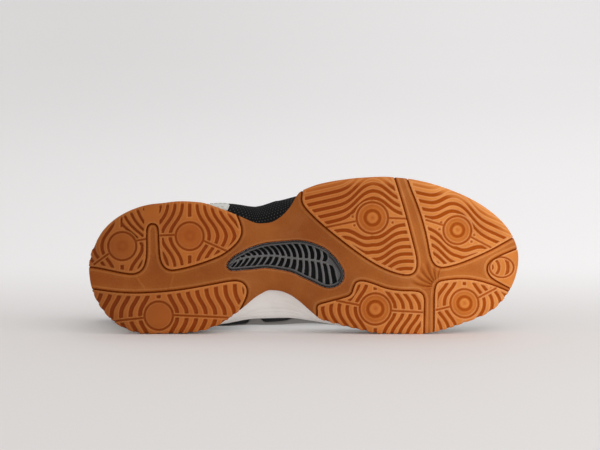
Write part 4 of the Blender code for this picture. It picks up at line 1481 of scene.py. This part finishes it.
@dataclass
class Shank:
    """Grey leaf-shaped plate in the arch, with a frame, a vein and barbs over a dark hollow."""

    last: Last
    shop: Workshop
    step: float = 0.36
    gap: float = 0.5
    face: float = 1.0
    frame: float = 2.1
    hollow: float = 2.0
    vein_width: float = 1.5
    gap_width: Pair = (1.1, 2.3)

    LEAF = Table("at middle half", (93.5, 2.5, 5.0), (100.0, 0.5, 5.6), (110.0, -2.5, 7.6),
                 (122.0, -4.6, 8.8), (136.0, -4.0, 10.6), (148.0, -1.0, 13.0), (158.0, 3.2, 13.6),
                 (167.0, 7.0, 11.5), (173.5, 9.0, 10.0))
    VEIN = Table("at y", (93.5, 2.4), (101.0, -1.2), (108.3, -3.4), (125.0, -4.4), (132.4, -3.4),
                 (141.8, -2.2), (150.5, -1.3), (161.5, 0.9), (169.0, 3.4), (173.5, 5.4))
    BARBS = (Barbs(-1, 17, 97.4, 3.85, 93.2, 2.76, 0.085, 6.5),
             Barbs(1, 17, 100.4, 3.92, 92.5, 4.18, 0.03, 3.4))
    HEEL_ROUND = 8.0
    TOE_ROUND = 12.0

    @classmethod
    def outline_points(cls) -> Array:
        """The leaf's outline.

        Returns:
            Its points in order.
        """
        back, front = cls.LEAF.at[0], cls.LEAF.at[-1]
        turn = np.linspace(0.0, 2.0 * np.pi, 240, endpoint=False)
        x = back + (front - back) * (1.0 - np.cos(turn)) / 2.0
        heel = np.maximum(0.0, 1.0 - (x - back) / cls.HEEL_ROUND)
        toe = np.maximum(0.0, 1.0 - (front - x) / cls.TOE_ROUND)
        half = cls.LEAF.read("half", x) * np.sqrt(1.0 - heel ** 2) * np.sqrt(1.0 - toe ** 2)
        y = cls.LEAF.read("middle", x) - np.where(turn <= np.pi, 1.0, -1.0) * half
        return np.stack((x, y), 1)

    def gaps(self, points: Array, inner: Array) -> Array:
        """Distance from the nearest gap between barbs.

        Args:
            points: Flat places.
            inner: Their distance from the plate's edge.

        Returns:
            The distances, negative in a gap.
        """
        vein = self.VEIN.read("y", points[:, 0])
        side = np.where(points[:, 1] < vein, -1, 1)
        from_vein = np.abs(points[:, 1] - vein)
        share = np.clip(from_vein / np.maximum(from_vein - inner, 0.5), 0.0, 1.0)
        apart = np.full(len(points), 10.0)
        half = (self.gap_width[0] + (self.gap_width[1] - self.gap_width[0]) * share ** 0.6) / 2.0
        for barbs in self.BARBS:
            for index in range(barbs.count):
                clear = np.abs(points[:, 0] - barbs.line(index, share)) * 0.84 - half
                apart = np.where(side == barbs.side, np.minimum(apart, clear), apart)
        apart = np.maximum(apart, self.vein_width / 2.0 + 0.2 - from_vein)
        return np.maximum(apart, inner + self.frame)

    def build(self) -> Piece:
        """Makes the plate.

        Returns:
            The piece.
        """
        leaf = self.outline_points()

        def distance(points: Array) -> Array:
            """Distance from the plate's edge, negative on the plate."""
            return outline_distance(points, leaf) + self.gap

        bm = self.shop.trimmed(self.step, leaf.min(0), leaf.max(0), distance)
        points = self.shop.flat_points(bm)
        inner = distance(points)
        apart = self.gaps(points, inner)
        sunk = ease(0.5 - apart / 0.9)
        inside = ease((-inner - self.frame) / 0.5)
        dome = (1.0 - (1.0 - np.clip(apart, 0.0, 1.0)) ** 2) * inside
        half = self.frame / 2.0
        frame = np.clip(1.0 - ((inner + half) / half) ** 2, 0.0, 1.0) * (1.0 - inside)
        heights = self.last.tread(points[:, 0]) + self.face + 0.9 - 0.8 * dome - 0.7 * frame
        heights = heights + self.hollow * sunk
        self.shop.set_heights(bm, heights)
        # Painted shade in the gaps and painted highlights along the barbs' edges and on their rounded tops.
        self.shop.set_mask(bm, "depth", np.clip(sunk, 0.0, 1.0))
        self.shop.set_mask(bm, "painted_highlight", np.exp(-((apart - 0.5) / 0.3) ** 2) * 0.8 + 0.2 * dome * (1.0 - sunk))
        bm.verts.index_update()
        for face in bm.faces:
            face.material_index = int(np.mean([sunk[vert.index] for vert in face.verts]) > 0.55)
        verts, lines = self.shop.extrude(bm, self.shop.rim_edges(bm))
        for vert in verts:
            vert.co.z = float(self.last.tread(np.array(vert.co.x))) + self.last.rubber
        bmesh.ops.triangle_fill(bm, use_beauty=True, edges=lines)
        return self.shop.finish("shank", bm, [SHANK_PLASTIC, SHANK_HOLLOW], "shank_plate")


@dataclass
class Midsole:
    """White foam between rubber and upper, flared at the waist, with creases along its side."""

    last: Last
    shop: Workshop
    columns: int = 320
    rows: int = 60
    gap: float = 0.35
    rim_round: float = 0.9
    set_in: float = 2.9
    lip: float = 6.0
    lip_wall: float = 1.9
    lip_deep: float = 2.0
    crease: float = 0.8
    creases: tuple[Pair, ...] = ((0.40, 0.5), (0.72, 1.0), (0.86, 0.6))
    crease_width: float = 0.035

    def low(self, u: Array, inset: float, level: Array) -> Array:
        """Places on the rubber's outline, moved in, at a height.

        Args:
            u: Places on the loop.
            inset: How far they move in.
            level: Their height.

        Returns:
            The places.
        """
        point = self.last.rubber_edge(u) - self.last.outward(u, self.last.rubber_edge) * inset
        point[..., 2] = level
        return point

    def profile(self, u: Array, b: Array) -> Array:
        """Places on the foam's side.

        Args:
            u: Places on the loop.
            b: Shares from the rubber up to the lip and over it to the inside.

        Returns:
            The places.
        """
        last = self.last
        edge_x = last.rubber_edge(u)[:, 0]
        low = self.low(u, self.rim_round, last.rim(edge_x) + self.gap)
        foot = last.skin(u, np.zeros_like(u), self.gap + self.lip_wall) - np.array((0.0, 0.0, self.lip_deep))
        start = last.upper_point(u, np.zeros_like(u))[:, 2]
        rise = (last.upper_point(u, np.full_like(u, 0.05))[:, 2] - start) / 0.05
        share = np.clip((b - 0.1) / 0.6, 0.0, 1.0)
        side = low + (foot - low) * share[:, None]
        out = last.outward(u, last.rubber_edge)
        bow = np.sin(np.pi * share) * 0.7
        for at, depth in self.creases:
            bow = bow - self.crease * depth * np.exp(-((share - at) / self.crease_width) ** 2)
        side = side + out * bow[:, None]
        base = self.low(u, self.set_in, last.tread(edge_x) + last.rubber + self.gap)
        climb = np.clip((b - 0.7) / 0.2, 0.0, 1.0)
        side_sign, way = last.along(u)
        waist = ease((way - 0.30) / 0.06) * ease((0.60 - way) / 0.07) * (side_sign < 0.0)
        top_v = self.lip * (1.0 - 0.92 * waist) / rise
        lip = last.skin(u, top_v * climb, self.gap + self.lip_wall * (1.0 - 0.75 * climb ** 4))
        inside = last.skin(u, top_v * np.clip((1.0 - b) / 0.1, 0.0, 1.0), 0.05)
        point = np.where((b < 0.1)[:, None], base + (low - base) * np.clip(b / 0.1, 0.0, 1.0)[:, None], side)
        point = np.where((b > 0.7)[:, None], lip, point)
        return np.where((b > 0.905)[:, None], inside, point)

    def build(self) -> Piece:
        """Makes the foam, closed under the rubber and under the insole.

        Returns:
            The piece.
        """
        bm = self.shop.grid(self.columns, self.rows, self.profile)
        bmesh.ops.remove_doubles(bm, verts=bm.verts, dist=0.001)
        loops = self.shop.rim_edges(bm)
        starts = [edge.verts[0].co for edge in loops]
        lower = [start.z < self.last.tread(np.array(start.x)) + 8.0 for start in starts]
        for under in (True, False):
            rim = [edge for edge, is_low in zip(loops, lower) if bool(is_low) is under]
            bmesh.ops.triangle_fill(bm, use_beauty=True, edges=rim)
        return self.shop.finish("midsole_foam", bm, [FOAM], "midsole", smooth=50.0)


@dataclass
class Upper:
    """The hollow mesh upper with its padded collar and lining."""

    last: Last
    shop: Workshop
    columns: int = 320
    outside: int = 64
    roll: int = 10
    inside: int = 40
    chart_length: float = 690.0
    chart_height: float = 84.0

    def loop(self, a: Array) -> Array:
        """Places on the loop, with one of the grid's lines at each end of the throat.

        Args:
            a: Shares of the grid.

        Returns:
            The places.
        """
        ends = [self.last.place_at(self.last.throat_end, side) for side in (-1, 1)]
        nearest = [round(end * self.columns) / self.columns for end in ends]
        return np.interp(a, (0.0, nearest[0], nearest[1], 1.0), (0.0, ends[0], ends[1], 1.0))

    def place(self, a: Array, b: Array) -> Array:
        """Places up the outside, over the top line and down the inside.

        Args:
            a: Shares round the loop.
            b: Shares up, over and down.

        Returns:
            The places.
        """
        last = self.last
        u = self.loop(a)
        rows = self.outside + self.roll + self.inside
        row = b * rows
        v = np.clip(row / self.outside, 0.0, 1.0)
        down = np.clip((row - self.outside - self.roll) / self.inside, 0.0, 1.0)
        turn = np.pi * np.clip((row - self.outside) / self.roll, 0.0, 1.0)
        wall = last.wall_at(u, np.ones_like(u))
        top = last.upper_point(u, np.ones_like(u))
        out = last.normal(u, np.ones_like(u))
        climb = unit(top - last.upper_point(u, np.full_like(u, 0.99)))
        open_share = ease((last.throat_end - last.along(u)[1]) / 0.05)
        swell = np.sin(turn) * (wall / 2.0) * open_share
        rim = top + out * (-wall * (1.0 - np.cos(turn)) / 2.0)[:, None] + climb * swell[:, None]
        outer = last.skin(u, v, 0.0)
        inner_v = 1.0 - down
        inner = last.upper_point(u, inner_v) - last.normal(u, inner_v) * last.wall_at(u, inner_v)[:, None]
        point = np.where((row <= self.outside)[:, None], outer, rim)
        return np.where((row > self.outside + self.roll)[:, None], inner, point)

    def chart(self, a: Array, b: Array) -> Array:
        """The flat map of the mesh, in millimetres."""
        return np.stack((a * self.chart_length, b * self.chart_height), 1)

    def build(self) -> Piece:
        """Makes the upper.

        Returns:
            The piece.
        """
        rows = self.outside + self.roll + self.inside
        bm = self.shop.grid(self.columns, rows, self.place, self.chart)
        layer = bm.loops.layers.uv.active
        seam = []
        for face in bm.faces:
            spots = [loop[layer].uv for loop in face.loops]
            row = sum(spot.y for spot in spots) / 4.0 / self.chart_height * rows
            face.material_index = 0 if row < self.outside + 1 else 1
            if self.outside < row < self.outside + self.roll:
                place = sum(spot.x for spot in spots) / 4.0 / self.chart_length
                if self.last.along(self.loop(np.array(place)))[1] > self.last.throat_end:
                    seam.append(face)
        bmesh.ops.delete(bm, geom=seam, context="FACES")
        bmesh.ops.remove_doubles(bm, verts=bm.verts, dist=0.01)
        return self.shop.finish("upper_shell", bm, [MESH, LINING], "upper", closed=False)


@dataclass(frozen=True)
class Patch:
    """Part of a panel between two places of the loop and two borders of its ribs."""

    first: float
    final: float
    borders: Table
    dips_first: bool = True
    dips_final: bool = True


@dataclass
class Overlay:
    """A panel sewn on the upper, whose edges dip into it."""

    last: Last
    shop: Workshop
    name: str
    finish: Finish
    patches: tuple[Patch, ...]
    lift: float = 1.4
    root: float = -0.4
    round_width: float = 1.3
    rows: int = 40
    step: float = 1.1
    loop_length: float = 690.0
    rib_length: float = 85.0
    chart_height: float = 45.0
    sewn: tuple[tuple[str, float], ...] = (("low", 1.0), ("high", -1.0))

    def place(self, patch: Patch, a: Array, b: Array) -> Array:
        """Places on one patch.

        Args:
            patch: The patch.
            a: Shares along.
            b: Shares from the low to the high border.

        Returns:
            The places.
        """
        u = patch.first + (patch.final - patch.first) * a
        share = self.last.along(u)[1]
        low = patch.borders.read("low", share)
        high = patch.borders.read("high", share)
        span = np.maximum((high - low) * self.rib_length, 1.0)
        reach = np.minimum(b * span, np.where(high > 0.999, 50.0, (1.0 - b) * span))
        length = abs(patch.final - patch.first) * self.loop_length
        if patch.dips_first:
            reach = np.minimum(reach, a * length)
        if patch.dips_final:
            reach = np.minimum(reach, (1.0 - a) * length)
        rise = np.sqrt(np.clip(1.0 - (1.0 - np.clip(reach / self.round_width, 0.0, 1.0)) ** 2, 0.0, 1.0))
        return self.last.skin(u, low + (high - low) * b, self.root + (self.lift - self.root) * rise)

    def build(self) -> Piece:
        """Makes the panel from its patches.

        Returns:
            The piece.
        """
        whole = bmesh.new()
        for patch in self.patches:
            length = abs(patch.final - patch.first) * self.loop_length
            bm = self.shop.grid(max(16, int(length / self.step)), self.rows,
                                lambda a, b: self.place(patch, a, b),
                                lambda a, b: np.stack((a * length, b * self.chart_height), 1))
            self.shop.join(whole, bm)
        bmesh.ops.remove_doubles(whole, verts=whole.verts, dist=0.01)
        bmesh.ops.recalc_face_normals(whole, faces=whole.faces)
        bmesh.ops.solidify(whole, geom=whole.faces, thickness=0.3)
        return self.shop.finish("panel_" + self.name, whole, [self.finish], self.name)

    def sew(self, bm: BMesh, inset: float, pitch: float) -> None:
        """Adds a row of stitches inside each sewn border.

        Args:
            bm: The mesh that the stitches go into.
            inset: How far inside the border they run.
            pitch: From one stitch to the next.
        """
        for patch in self.patches:
            for column, sign in self.sewn:
                a = np.linspace(0.02, 0.98, 500)
                u = patch.first + (patch.final - patch.first) * a
                share = self.last.along(u)[1]
                v = patch.borders.read(column, share) + sign * inset / self.rib_length
                if patch.borders.read(column, share).max() > 0.999:
                    continue
                self.shop.stitch(bm, self.last.skin(u, v, self.lift + 0.05), self.last.normal(u, v), pitch)


@dataclass
class Stitching:
    """Rows of stitches inside the borders of some panels."""

    shop: Workshop
    name: str
    thread: Finish
    panels: list[Overlay]
    inset: float = 2.2
    pitch: float = 3.1

    def build(self) -> Piece:
        """Makes the stitches.

        Returns:
            The piece.
        """
        bm = bmesh.new()
        for panel in self.panels:
            panel.sew(bm, self.inset, self.pitch)
        return self.shop.finish(self.name, bm, [self.thread], "eyestay", replaces=False)


@dataclass
class Tongue:
    """Padded tongue under the throat, rounded at its edges and at its top."""

    last: Last
    shop: Workshop
    wall: float = 5.0
    columns: int = 72
    rows: int = 64
    swell: float = 0.8
    chart_size: Pair = (120.0, 116.0)
    line: Table = Table(
        "at x z half crown", (0.00, 208.0, 53.0, 20.0, 28.0), (0.20, 186.0, 67.5, 24.0, 29.0),
        (0.45, 158.0, 81.5, 27.0, 32.0), (0.70, 132.0, 96.0, 25.0, 38.0), (0.85, 119.0, 106.0, 23.5, 46.0),
        (1.00, 106.0, 117.5, 27.0, 64.0))

    def place(self, a: Array, b: Array) -> Array:
        """Places round the pad.

        Args:
            a: Shares along.
            b: Shares round.

        Returns:
            The places.
        """
        x, z = self.line.read("x", a), self.line.read("z", a)
        ahead = np.clip(a + 0.01, 0.0, 1.0)
        behind = np.clip(a - 0.01, 0.0, 1.0)
        run_x = self.line.read("x", ahead) - self.line.read("x", behind)
        run_z = self.line.read("z", ahead) - self.line.read("z", behind)
        length = np.hypot(run_x, run_z)
        angle = 2.0 * np.pi * b
        across = np.sign(np.cos(angle)) * np.abs(np.cos(angle)) ** 0.55
        thick = np.sign(np.sin(angle)) * np.abs(np.sin(angle)) ** 0.75
        top = np.clip((a - 0.93) / 0.07, 0.0, 1.0)
        seam = 1.0 - 0.45 * np.exp(-((a - 0.86) / 0.012) ** 2)
        half_wall = self.wall / 2.0 * seam * np.sqrt(np.clip(1.0 - top ** 2.2, 0.0, 1.0))
        half_wall = half_wall * (1.0 + self.swell * 0.3 * np.exp(-((a - 0.93) / 0.06) ** 2))
        crown = self.line.read("crown", a)
        narrow = 1.0 - 0.22 * np.clip((a - 0.90) / 0.10, 0.0, 1.0) ** 3
        turn = across * self.line.read("half", a) * narrow / crown
        reach = crown - self.wall / 2.0 + thick * half_wall
        lift = reach * np.cos(turn) - crown
        y = self.last.middle(x) + reach * np.sin(turn)
        return np.stack((x + lift * run_z / length, y, z - lift * run_x / length), -1)

    def build(self) -> Piece:
        """Makes the tongue.

        Returns:
            The piece.
        """
        bm = self.shop.grid(self.columns, self.rows, self.place,
                            lambda a, b: np.stack((a, b), 1) * np.array(self.chart_size))
        bmesh.ops.remove_doubles(bm, verts=bm.verts, dist=0.01)
        bmesh.ops.holes_fill(bm, edges=bm.edges, sides=0)
        piece = self.shop.finish("tongue_pad", bm, [LINING], "tongue", smooth=70.0)
        return piece


@dataclass
class Insole:
    """Footbed with a dished top and a cloth cover."""

    last: Last
    shop: Workshop
    inset: float = 3.2
    thick: float = 4.0
    dish: float = 1.0
    spine_back: float = 34.0
    spine_front: float = 248.0
    columns: int = 160
    rows: int = 40

    def place(self, a: Array, b: Array) -> Array:
        """Places over the underside, round the edge and over the top.

        Args:
            a: Shares round the loop.
            b: Shares under, round and over.

        Returns:
            The places.
        """
        edge = self.last.foot_edge(a)
        edge = edge - self.last.outward(a, self.last.foot_edge) * self.inset
        x = np.clip(self.last.foot_edge(a)[:, 0], self.spine_back, self.spine_front)
        spine = np.stack((x, self.last.middle(x), np.zeros_like(x)), -1)
        share = np.interp(b, (0.0, 0.30, 0.42, 1.0), (0.0, 1.0, 1.0, 0.0))
        bed = self.thick - self.dish
        lift = np.interp(b, (0.0, 0.30, 0.33, 0.40, 0.44, 0.70, 1.0),
                         (0.0, 0.0, 0.4, self.thick - 0.3, self.thick, bed, bed))
        point = spine + (edge - spine) * share[:, None]
        point[:, 2] = self.last.feather(point[:, 0]) + lift
        return point

    def build(self) -> Piece:
        """Makes the insole.

        Returns:
            The piece.
        """
        bm = self.shop.grid(self.columns, self.rows, self.place, lambda a, b: self.place(a, b)[:, :2])
        return self.shop.finish("insole_cover", bm, [COVER], "insole")


@dataclass
class Lace:
    """Flat lace that crosses the throat through rows of ringed eyelets."""

    last: Last
    shop: Workshop
    rows: int = 5
    first: float = 20.6
    final: float = 16.9
    loop: int = 64
    inset: float = 0.955
    width: float = 6.2
    thick: float = 1.5
    over: float = 1.0
    rise: float = 5.2
    surface: float = 1.9
    ring: float = 2.9
    ring_thick: float = 0.75
    dive: float = -3.5
    away: Place = (0.45, 0.0, 0.89)

    def eyelet(self, side: int, row: int, off: float) -> Array:
        """A place over or under an eyelet.

        Args:
            side: -1 lateral, 1 medial.
            row: Row, from the toe.
            off: Height over the upper.

        Returns:
            The place.
        """
        steps = self.first + (self.final - self.first) * row / (self.rows - 1)
        u = np.array([steps / self.loop if side < 0 else 1.0 - steps / self.loop])
        return self.last.skin(u, np.array([self.inset]), off)[0]

    def path(self, start: tuple[int, int], end: tuple[int, int], lift: float) -> Array:
        """Points along a crossing, up through one eyelet and down through the other.

        Args:
            start: Side and row of one eyelet.
            end: Those of the other.
            lift: How much higher it arches.

        Returns:
            The points.
        """
        low = self.surface + 0.9
        first, final = self.eyelet(*start, low + 1.6), self.eyelet(*end, low + 1.6)
        share = np.linspace(0.0, 1.0, 11)
        share = share - 0.09 * np.sin(2.0 * np.pi * share)
        arch = (self.rise + lift) * (1.0 - (2.0 * share - 1.0) ** 4)
        middle = first + (final - first) * share[:, None] + np.array(self.away) * arch[:, None]
        knots = np.concatenate(([self.eyelet(*start, self.dive)], [self.eyelet(*start, low - 1.2)], middle,
                                [self.eyelet(*end, low - 1.2)], [self.eyelet(*end, self.dive)]))
        return self.spline(knots, 8)

    def spline(self, knots: Array, steps: int) -> Array:
        """A smooth line through points.

        Args:
            knots: The points.
            steps: Points between two of them.

        Returns:
            Points along it.
        """
        padded = np.concatenate((knots[:1] * 2.0 - knots[1:2], knots, knots[-1:] * 2.0 - knots[-2:-1]))
        t = np.linspace(0.0, 1.0, steps, endpoint=False)[:, None]
        runs = []
        for index in range(len(knots) - 1):
            p0, p1, p2, p3 = padded[index:index + 4]
            runs.append(0.5 * (2.0 * p1 + (p2 - p0) * t + (2.0 * p0 - 5.0 * p1 + 4.0 * p2 - p3) * t ** 2
                               + (3.0 * p1 - p0 - 3.0 * p2 + p3) * t ** 3))
        return np.concatenate(runs + [knots[-1:]])

    def band(self, line: Array) -> BMesh:
        """A flat woven band along a line.

        Args:
            line: Points along the line.

        Returns:
            The mesh.
        """
        run = unit(np.gradient(line, axis=0))
        side = unit(np.cross(run, np.array(self.away)))
        face = np.cross(side, run)
        along = lengths(line)
        ends = np.minimum(along, along[-1] - along)
        width = self.width * (0.68 + 0.32 * ease((ends - 3.0) / 8.0))
        count = len(line) - 1

        def place(a: Array, b: Array) -> Array:
            """Places on the band, b once round its section."""
            index = np.round(a * count).astype(int)
            turn = 2.0 * np.pi * b
            flat = np.sign(np.cos(turn)) * np.abs(np.cos(turn)) ** 0.6
            return (line[index] + side[index] * (flat * width[index] / 2.0)[:, None]
                    + face[index] * (np.sin(turn) * self.thick / 2.0)[:, None])

        def chart(a: Array, b: Array) -> Array:
            """The band's flat map."""
            return np.stack((along[np.round(a * count).astype(int)], b * 2.0 * self.width), 1)

        bm = self.shop.grid(count, 16, place, chart)
        bmesh.ops.remove_doubles(bm, verts=bm.verts, dist=0.001)
        bmesh.ops.holes_fill(bm, edges=bm.edges, sides=0)
        return bm

    def build(self) -> Piece:
        """Makes the crossings.

        Returns:
            The piece.
        """
        whole = bmesh.new()
        lines = [self.path((-1, 0), (1, 0), 0.0)]
        for row in range(self.rows - 1):
            for side in (-1, 1):
                lines.append(self.path((side, row), (-side, row + 1), self.over * (side + 1)))
        for line in lines:
            self.shop.join(whole, self.band(line))
        return self.shop.finish("lace_band", whole, [LACE_WEAVE], "lace")

    def build_eyelets(self) -> Piece:
        """Makes a ring at each eyelet, with a dark disc in it as painted shade for the hole.

        Returns:
            The piece.
        """
        bm = bmesh.new()
        for row in range(self.rows):
            for side in (-1, 1):
                place = Vector(self.eyelet(side, row, self.surface))
                out = (Vector(self.eyelet(side, row, self.surface + 1.0)) - place).normalized()
                turn = out.to_track_quat("Z", "Y").to_matrix().to_4x4()
                lay = Matrix.Translation(place) @ turn
                upright = Matrix.Translation((self.ring, 0.0, 0.1)) @ Matrix.Rotation(math.pi / 2.0, 4, "X")
                circle = bmesh.ops.create_circle(bm, segments=8, radius=self.ring_thick, matrix=lay @ upright)
                edges = list({edge for vert in circle["verts"] for edge in vert.link_edges})
                bmesh.ops.spin(bm, geom=circle["verts"] + edges, cent=place, axis=out, angle=2.0 * math.pi,
                               steps=24, use_merge=True, use_duplicate=False)
                # A dark disc filling the ring: painted shade for the eyelet's hole.
                bmesh.ops.create_circle(bm, cap_ends=True, segments=24, radius=self.ring,
                                        matrix=lay @ Matrix.Translation((0.0, 0.0, 0.12)))
        return self.shop.finish("eyelet_rings", bm, [EYELET], "eyestay", replaces=False)


@dataclass
class Studio:
    """Pale sweep, soft light and the camera."""

    lay: Lay
    aim: Place = (143.4, -24.9, 0.0)
    millimetres_per_pixel: float = 0.679
    width: int = 600
    distance: float = 2.6
    elevation: float = 4.6
    sensor: float = 36.0
    flat: float = 4.5
    curve: float = 2.0
    sweep_width: float = 12.0
    sweep_length: float = 16.0
    sweep_front: float = 5.0
    room: float = 0.74
    # Ramps that bound a painted pool of light, which glows on the floor under the shoe.
    painted_pool: tuple[tuple[str, float, float], ...] = (
        ("Y", -0.052, -0.020), ("Y", 0.035, -0.015), ("X", -0.10, -0.02), ("X", 0.13, 0.05))
    lamps: tuple[tuple[str, Place, float, float], ...] = (
        ("key", (0.80, -0.52, 0.52), 1.4, 3.9), ("top", (0.3, 0.2, 2.2), 1.6, 2.5),
        ("back", (0.7, 1.5, 2.0), 1.4, 4.0), ("fill", (-0.4, -2.2, 0.35), 1.2, 6.0))

    def build(self) -> None:
        """Makes the floor, the lights, the world and the camera."""
        self.sweep()
        self.lights()
        self.camera()

    def sweep(self) -> None:
        """Makes a floor that curves up into a backdrop, with painted light: the backdrop glows, brighter on
        the right, and a painted pool of light glows under the shoe.
        """
        bm = bmesh.new()
        bmesh.ops.create_grid(bm, x_segments=8, y_segments=60, size=0.5)
        for vert in bm.verts:
            share = vert.co.y + 0.5
            run = share * self.sweep_length - self.sweep_front
            over = max(0.0, run - self.flat)
            bend = min(over / self.curve, math.pi / 2.0)
            vert.co = (vert.co.x * self.sweep_width, min(run, self.flat) + self.curve * math.sin(bend),
                       self.curve * (1.0 - math.cos(bend)) + max(0.0, over - self.curve * math.pi / 2.0))
        for face in bm.faces:
            face.smooth = True
        mesh = bpy.data.meshes.new("sweep")
        bm.to_mesh(mesh)
        bm.free()
        material = bpy.data.materials.new("sweep_paper")
        material.use_nodes = True
        make = NodeMaker(material.node_tree)
        place = make.add("SeparateXYZ", {"Vector": make.add("TexCoord").outputs["Object"]})
        back = make.ramp(place.outputs["Y"], -0.05, 0.5)
        paper = make.mix(back, linear(240, 237, 235), linear(240, 239, 239))
        # Painted light: the backdrop glows, brighter to the right.
        right = make.ramp(place.outputs["X"], -0.5, 0.5)
        painted_glow = make.mix(right, linear(102, 101, 101), linear(131, 131, 131))
        # A painted pool of light glows on the floor under the shoe, bounded by these ramps.
        ramps = [make.ramp(place.outputs[axis], low, high) for axis, low, high in self.painted_pool]
        painted_pool = ramps[0]
        for ramp in ramps[1:]:
            painted_pool = make.math("MULTIPLY", painted_pool, ramp)
        lit = make.mix(painted_pool, make.mix(back, (0.0, 0.0, 0.0), painted_glow), linear(172, 171, 171))
        make.fill(material.node_tree.nodes["Principled BSDF"], {
            "Base Color": paper, "Emission Color": lit, "Emission Strength": 1.0, "Roughness": 0.7,
            "Specular IOR Level": 0.2})
        mesh.materials.append(material)
        floor = bpy.data.objects.new("sweep", mesh)
        bpy.context.scene.collection.objects.link(floor)

    def lights(self) -> None:
        """Sets a broad key from the right, lamps above, behind and in front, and a pale room."""
        world = bpy.data.worlds.new("room")
        bpy.context.scene.world = world
        world.use_nodes = True
        sky = world.node_tree.nodes["Background"]
        sky.inputs["Color"].default_value = (*linear(232, 230, 230), 1.0)
        sky.inputs["Strength"].default_value = self.room
        for name, place, size, power in self.lamps:
            light = bpy.data.lights.new(name, "AREA")
            light.size = size
            light.energy = power
            lamp = bpy.data.objects.new(name, light)
            lamp.location = place
            aim = Vector((0.1, 1.2, 0.0)) if name == "back" else Vector((0.0, 0.0, 0.04))
            lamp.rotation_euler = (aim - Vector(place)).to_track_quat("-Z", "Y").to_euler()
            bpy.context.scene.collection.objects.link(lamp)
        bpy.context.scene.view_settings.view_transform = "Standard"

    def camera(self) -> None:
        """Puts the camera low in front of the sole, at the photograph's angle."""
        target = Vector(self.lay.world(np.array(self.aim)))
        tilt = math.radians(self.elevation)
        away = Vector((0.0, -math.cos(tilt), math.sin(tilt)))
        lens = bpy.data.cameras.new("camera")
        lens.sensor_width = self.sensor
        lens.lens = self.sensor * self.distance / (self.width * self.millimetres_per_pixel * MM)
        lens.clip_end = 50.0
        view = bpy.data.objects.new("camera", lens)
        view.location = target + away * self.distance
        view.rotation_euler = (-away).to_track_quat("-Z", "Y").to_euler()
        bpy.context.scene.collection.objects.link(view)
        bpy.context.scene.camera = view


def make_panels(last: Last, shop: Workshop) -> list[Overlay]:
    """The panels sewn on the upper.

    Args:
        last: The shoe's form.
        shop: Where they are made.

    Returns:
        The panels, not yet built.
    """
    guard = Table("at low high", (0.70, 0.22, 0.30), (0.80, 0.20, 0.36), (0.90, 0.21, 0.50),
                  (1.00, 0.22, 0.58))
    counter_lateral = Table("at low high", (0.00, 0.062, 0.66), (0.15, 0.062, 0.58), (0.30, 0.075, 0.34),
                            (0.40, 0.11, 0.20))
    counter_medial = Table("at low high", (0.00, 0.062, 0.66), (0.15, 0.062, 0.56), (0.30, 0.075, 0.34))
    quarter = Table("at low high", (0.30, 0.30, 0.42), (0.38, 0.34, 0.60), (0.402, 0.30, 0.64),
                    (0.420, 0.04, 0.67), (0.428, 0.05, 0.68), (0.440, 0.22, 0.70), (0.470, 0.19, 0.72),
                    (0.491, 0.05, 0.72), (0.54, 0.04, 0.70), (0.60, 0.05, 0.40))
    stay = Table("at low high", (0.45, 0.80, 0.985), (0.58, 0.77, 0.985), (0.62, 0.77, 1.0),
                 (0.655, 0.79, 1.0), (0.69, 0.86, 1.0), (0.72, 0.965, 1.0))
    step = 1.0 / 64.0
    return [
        Overlay(last, shop, "toe_guard", GREY_LEATHER, (Patch(26 * step, 38 * step, guard),)),
        Overlay(last, shop, "heel_counter", PALE_LEATHER, (
            Patch(0.0, 10.1 * step, counter_lateral, dips_first=False),
            Patch(57 * step, 1.0, counter_medial, dips_final=False))),
        Overlay(last, shop, "quarter_medial", GREY_LEATHER, (Patch(45 * step, 56 * step, quarter),),
                lift=0.7, sewn=(("high", -1.0),)),
        Overlay(last, shop, "eyestay", BLACK_LEATHER, (Patch(15 * step, 25 * step, stay),
                                                       Patch(39 * step, 49 * step, stay)), lift=1.9),
    ]


def main() -> None:
    """Dresses the shoe and sets the studio."""
    logging.basicConfig(level=logging.INFO, format="%(name)s %(message)s")
    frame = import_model()
    last = Last()
    lay = Lay(frame["record"])
    shop = Workshop(lay)
    panels = make_panels(last, shop)
    pale = [panel for panel in panels if panel.finish is PALE_LEATHER]
    dark = [panel for panel in panels if panel.finish is not PALE_LEATHER]
    lace = Lace(last, shop)
    pieces = Outsole(last, shop).build()
    for part in (Shank(last, shop), Midsole(last, shop), Upper(last, shop), Insole(last, shop),
                 Tongue(last, shop), *panels, Stitching(shop, "stitches", THREAD, dark),
                 Stitching(shop, "stitches_pale", PALE_THREAD, pale), lace):
        pieces.append(part.build())
    pieces.append(lace.build_eyelets())
    for piece in pieces:
        LOG.info("%s: %d faces", piece.name, len(piece.data.polygons))
    Studio(lay).build()


if __name__ == "__main__":
    main()
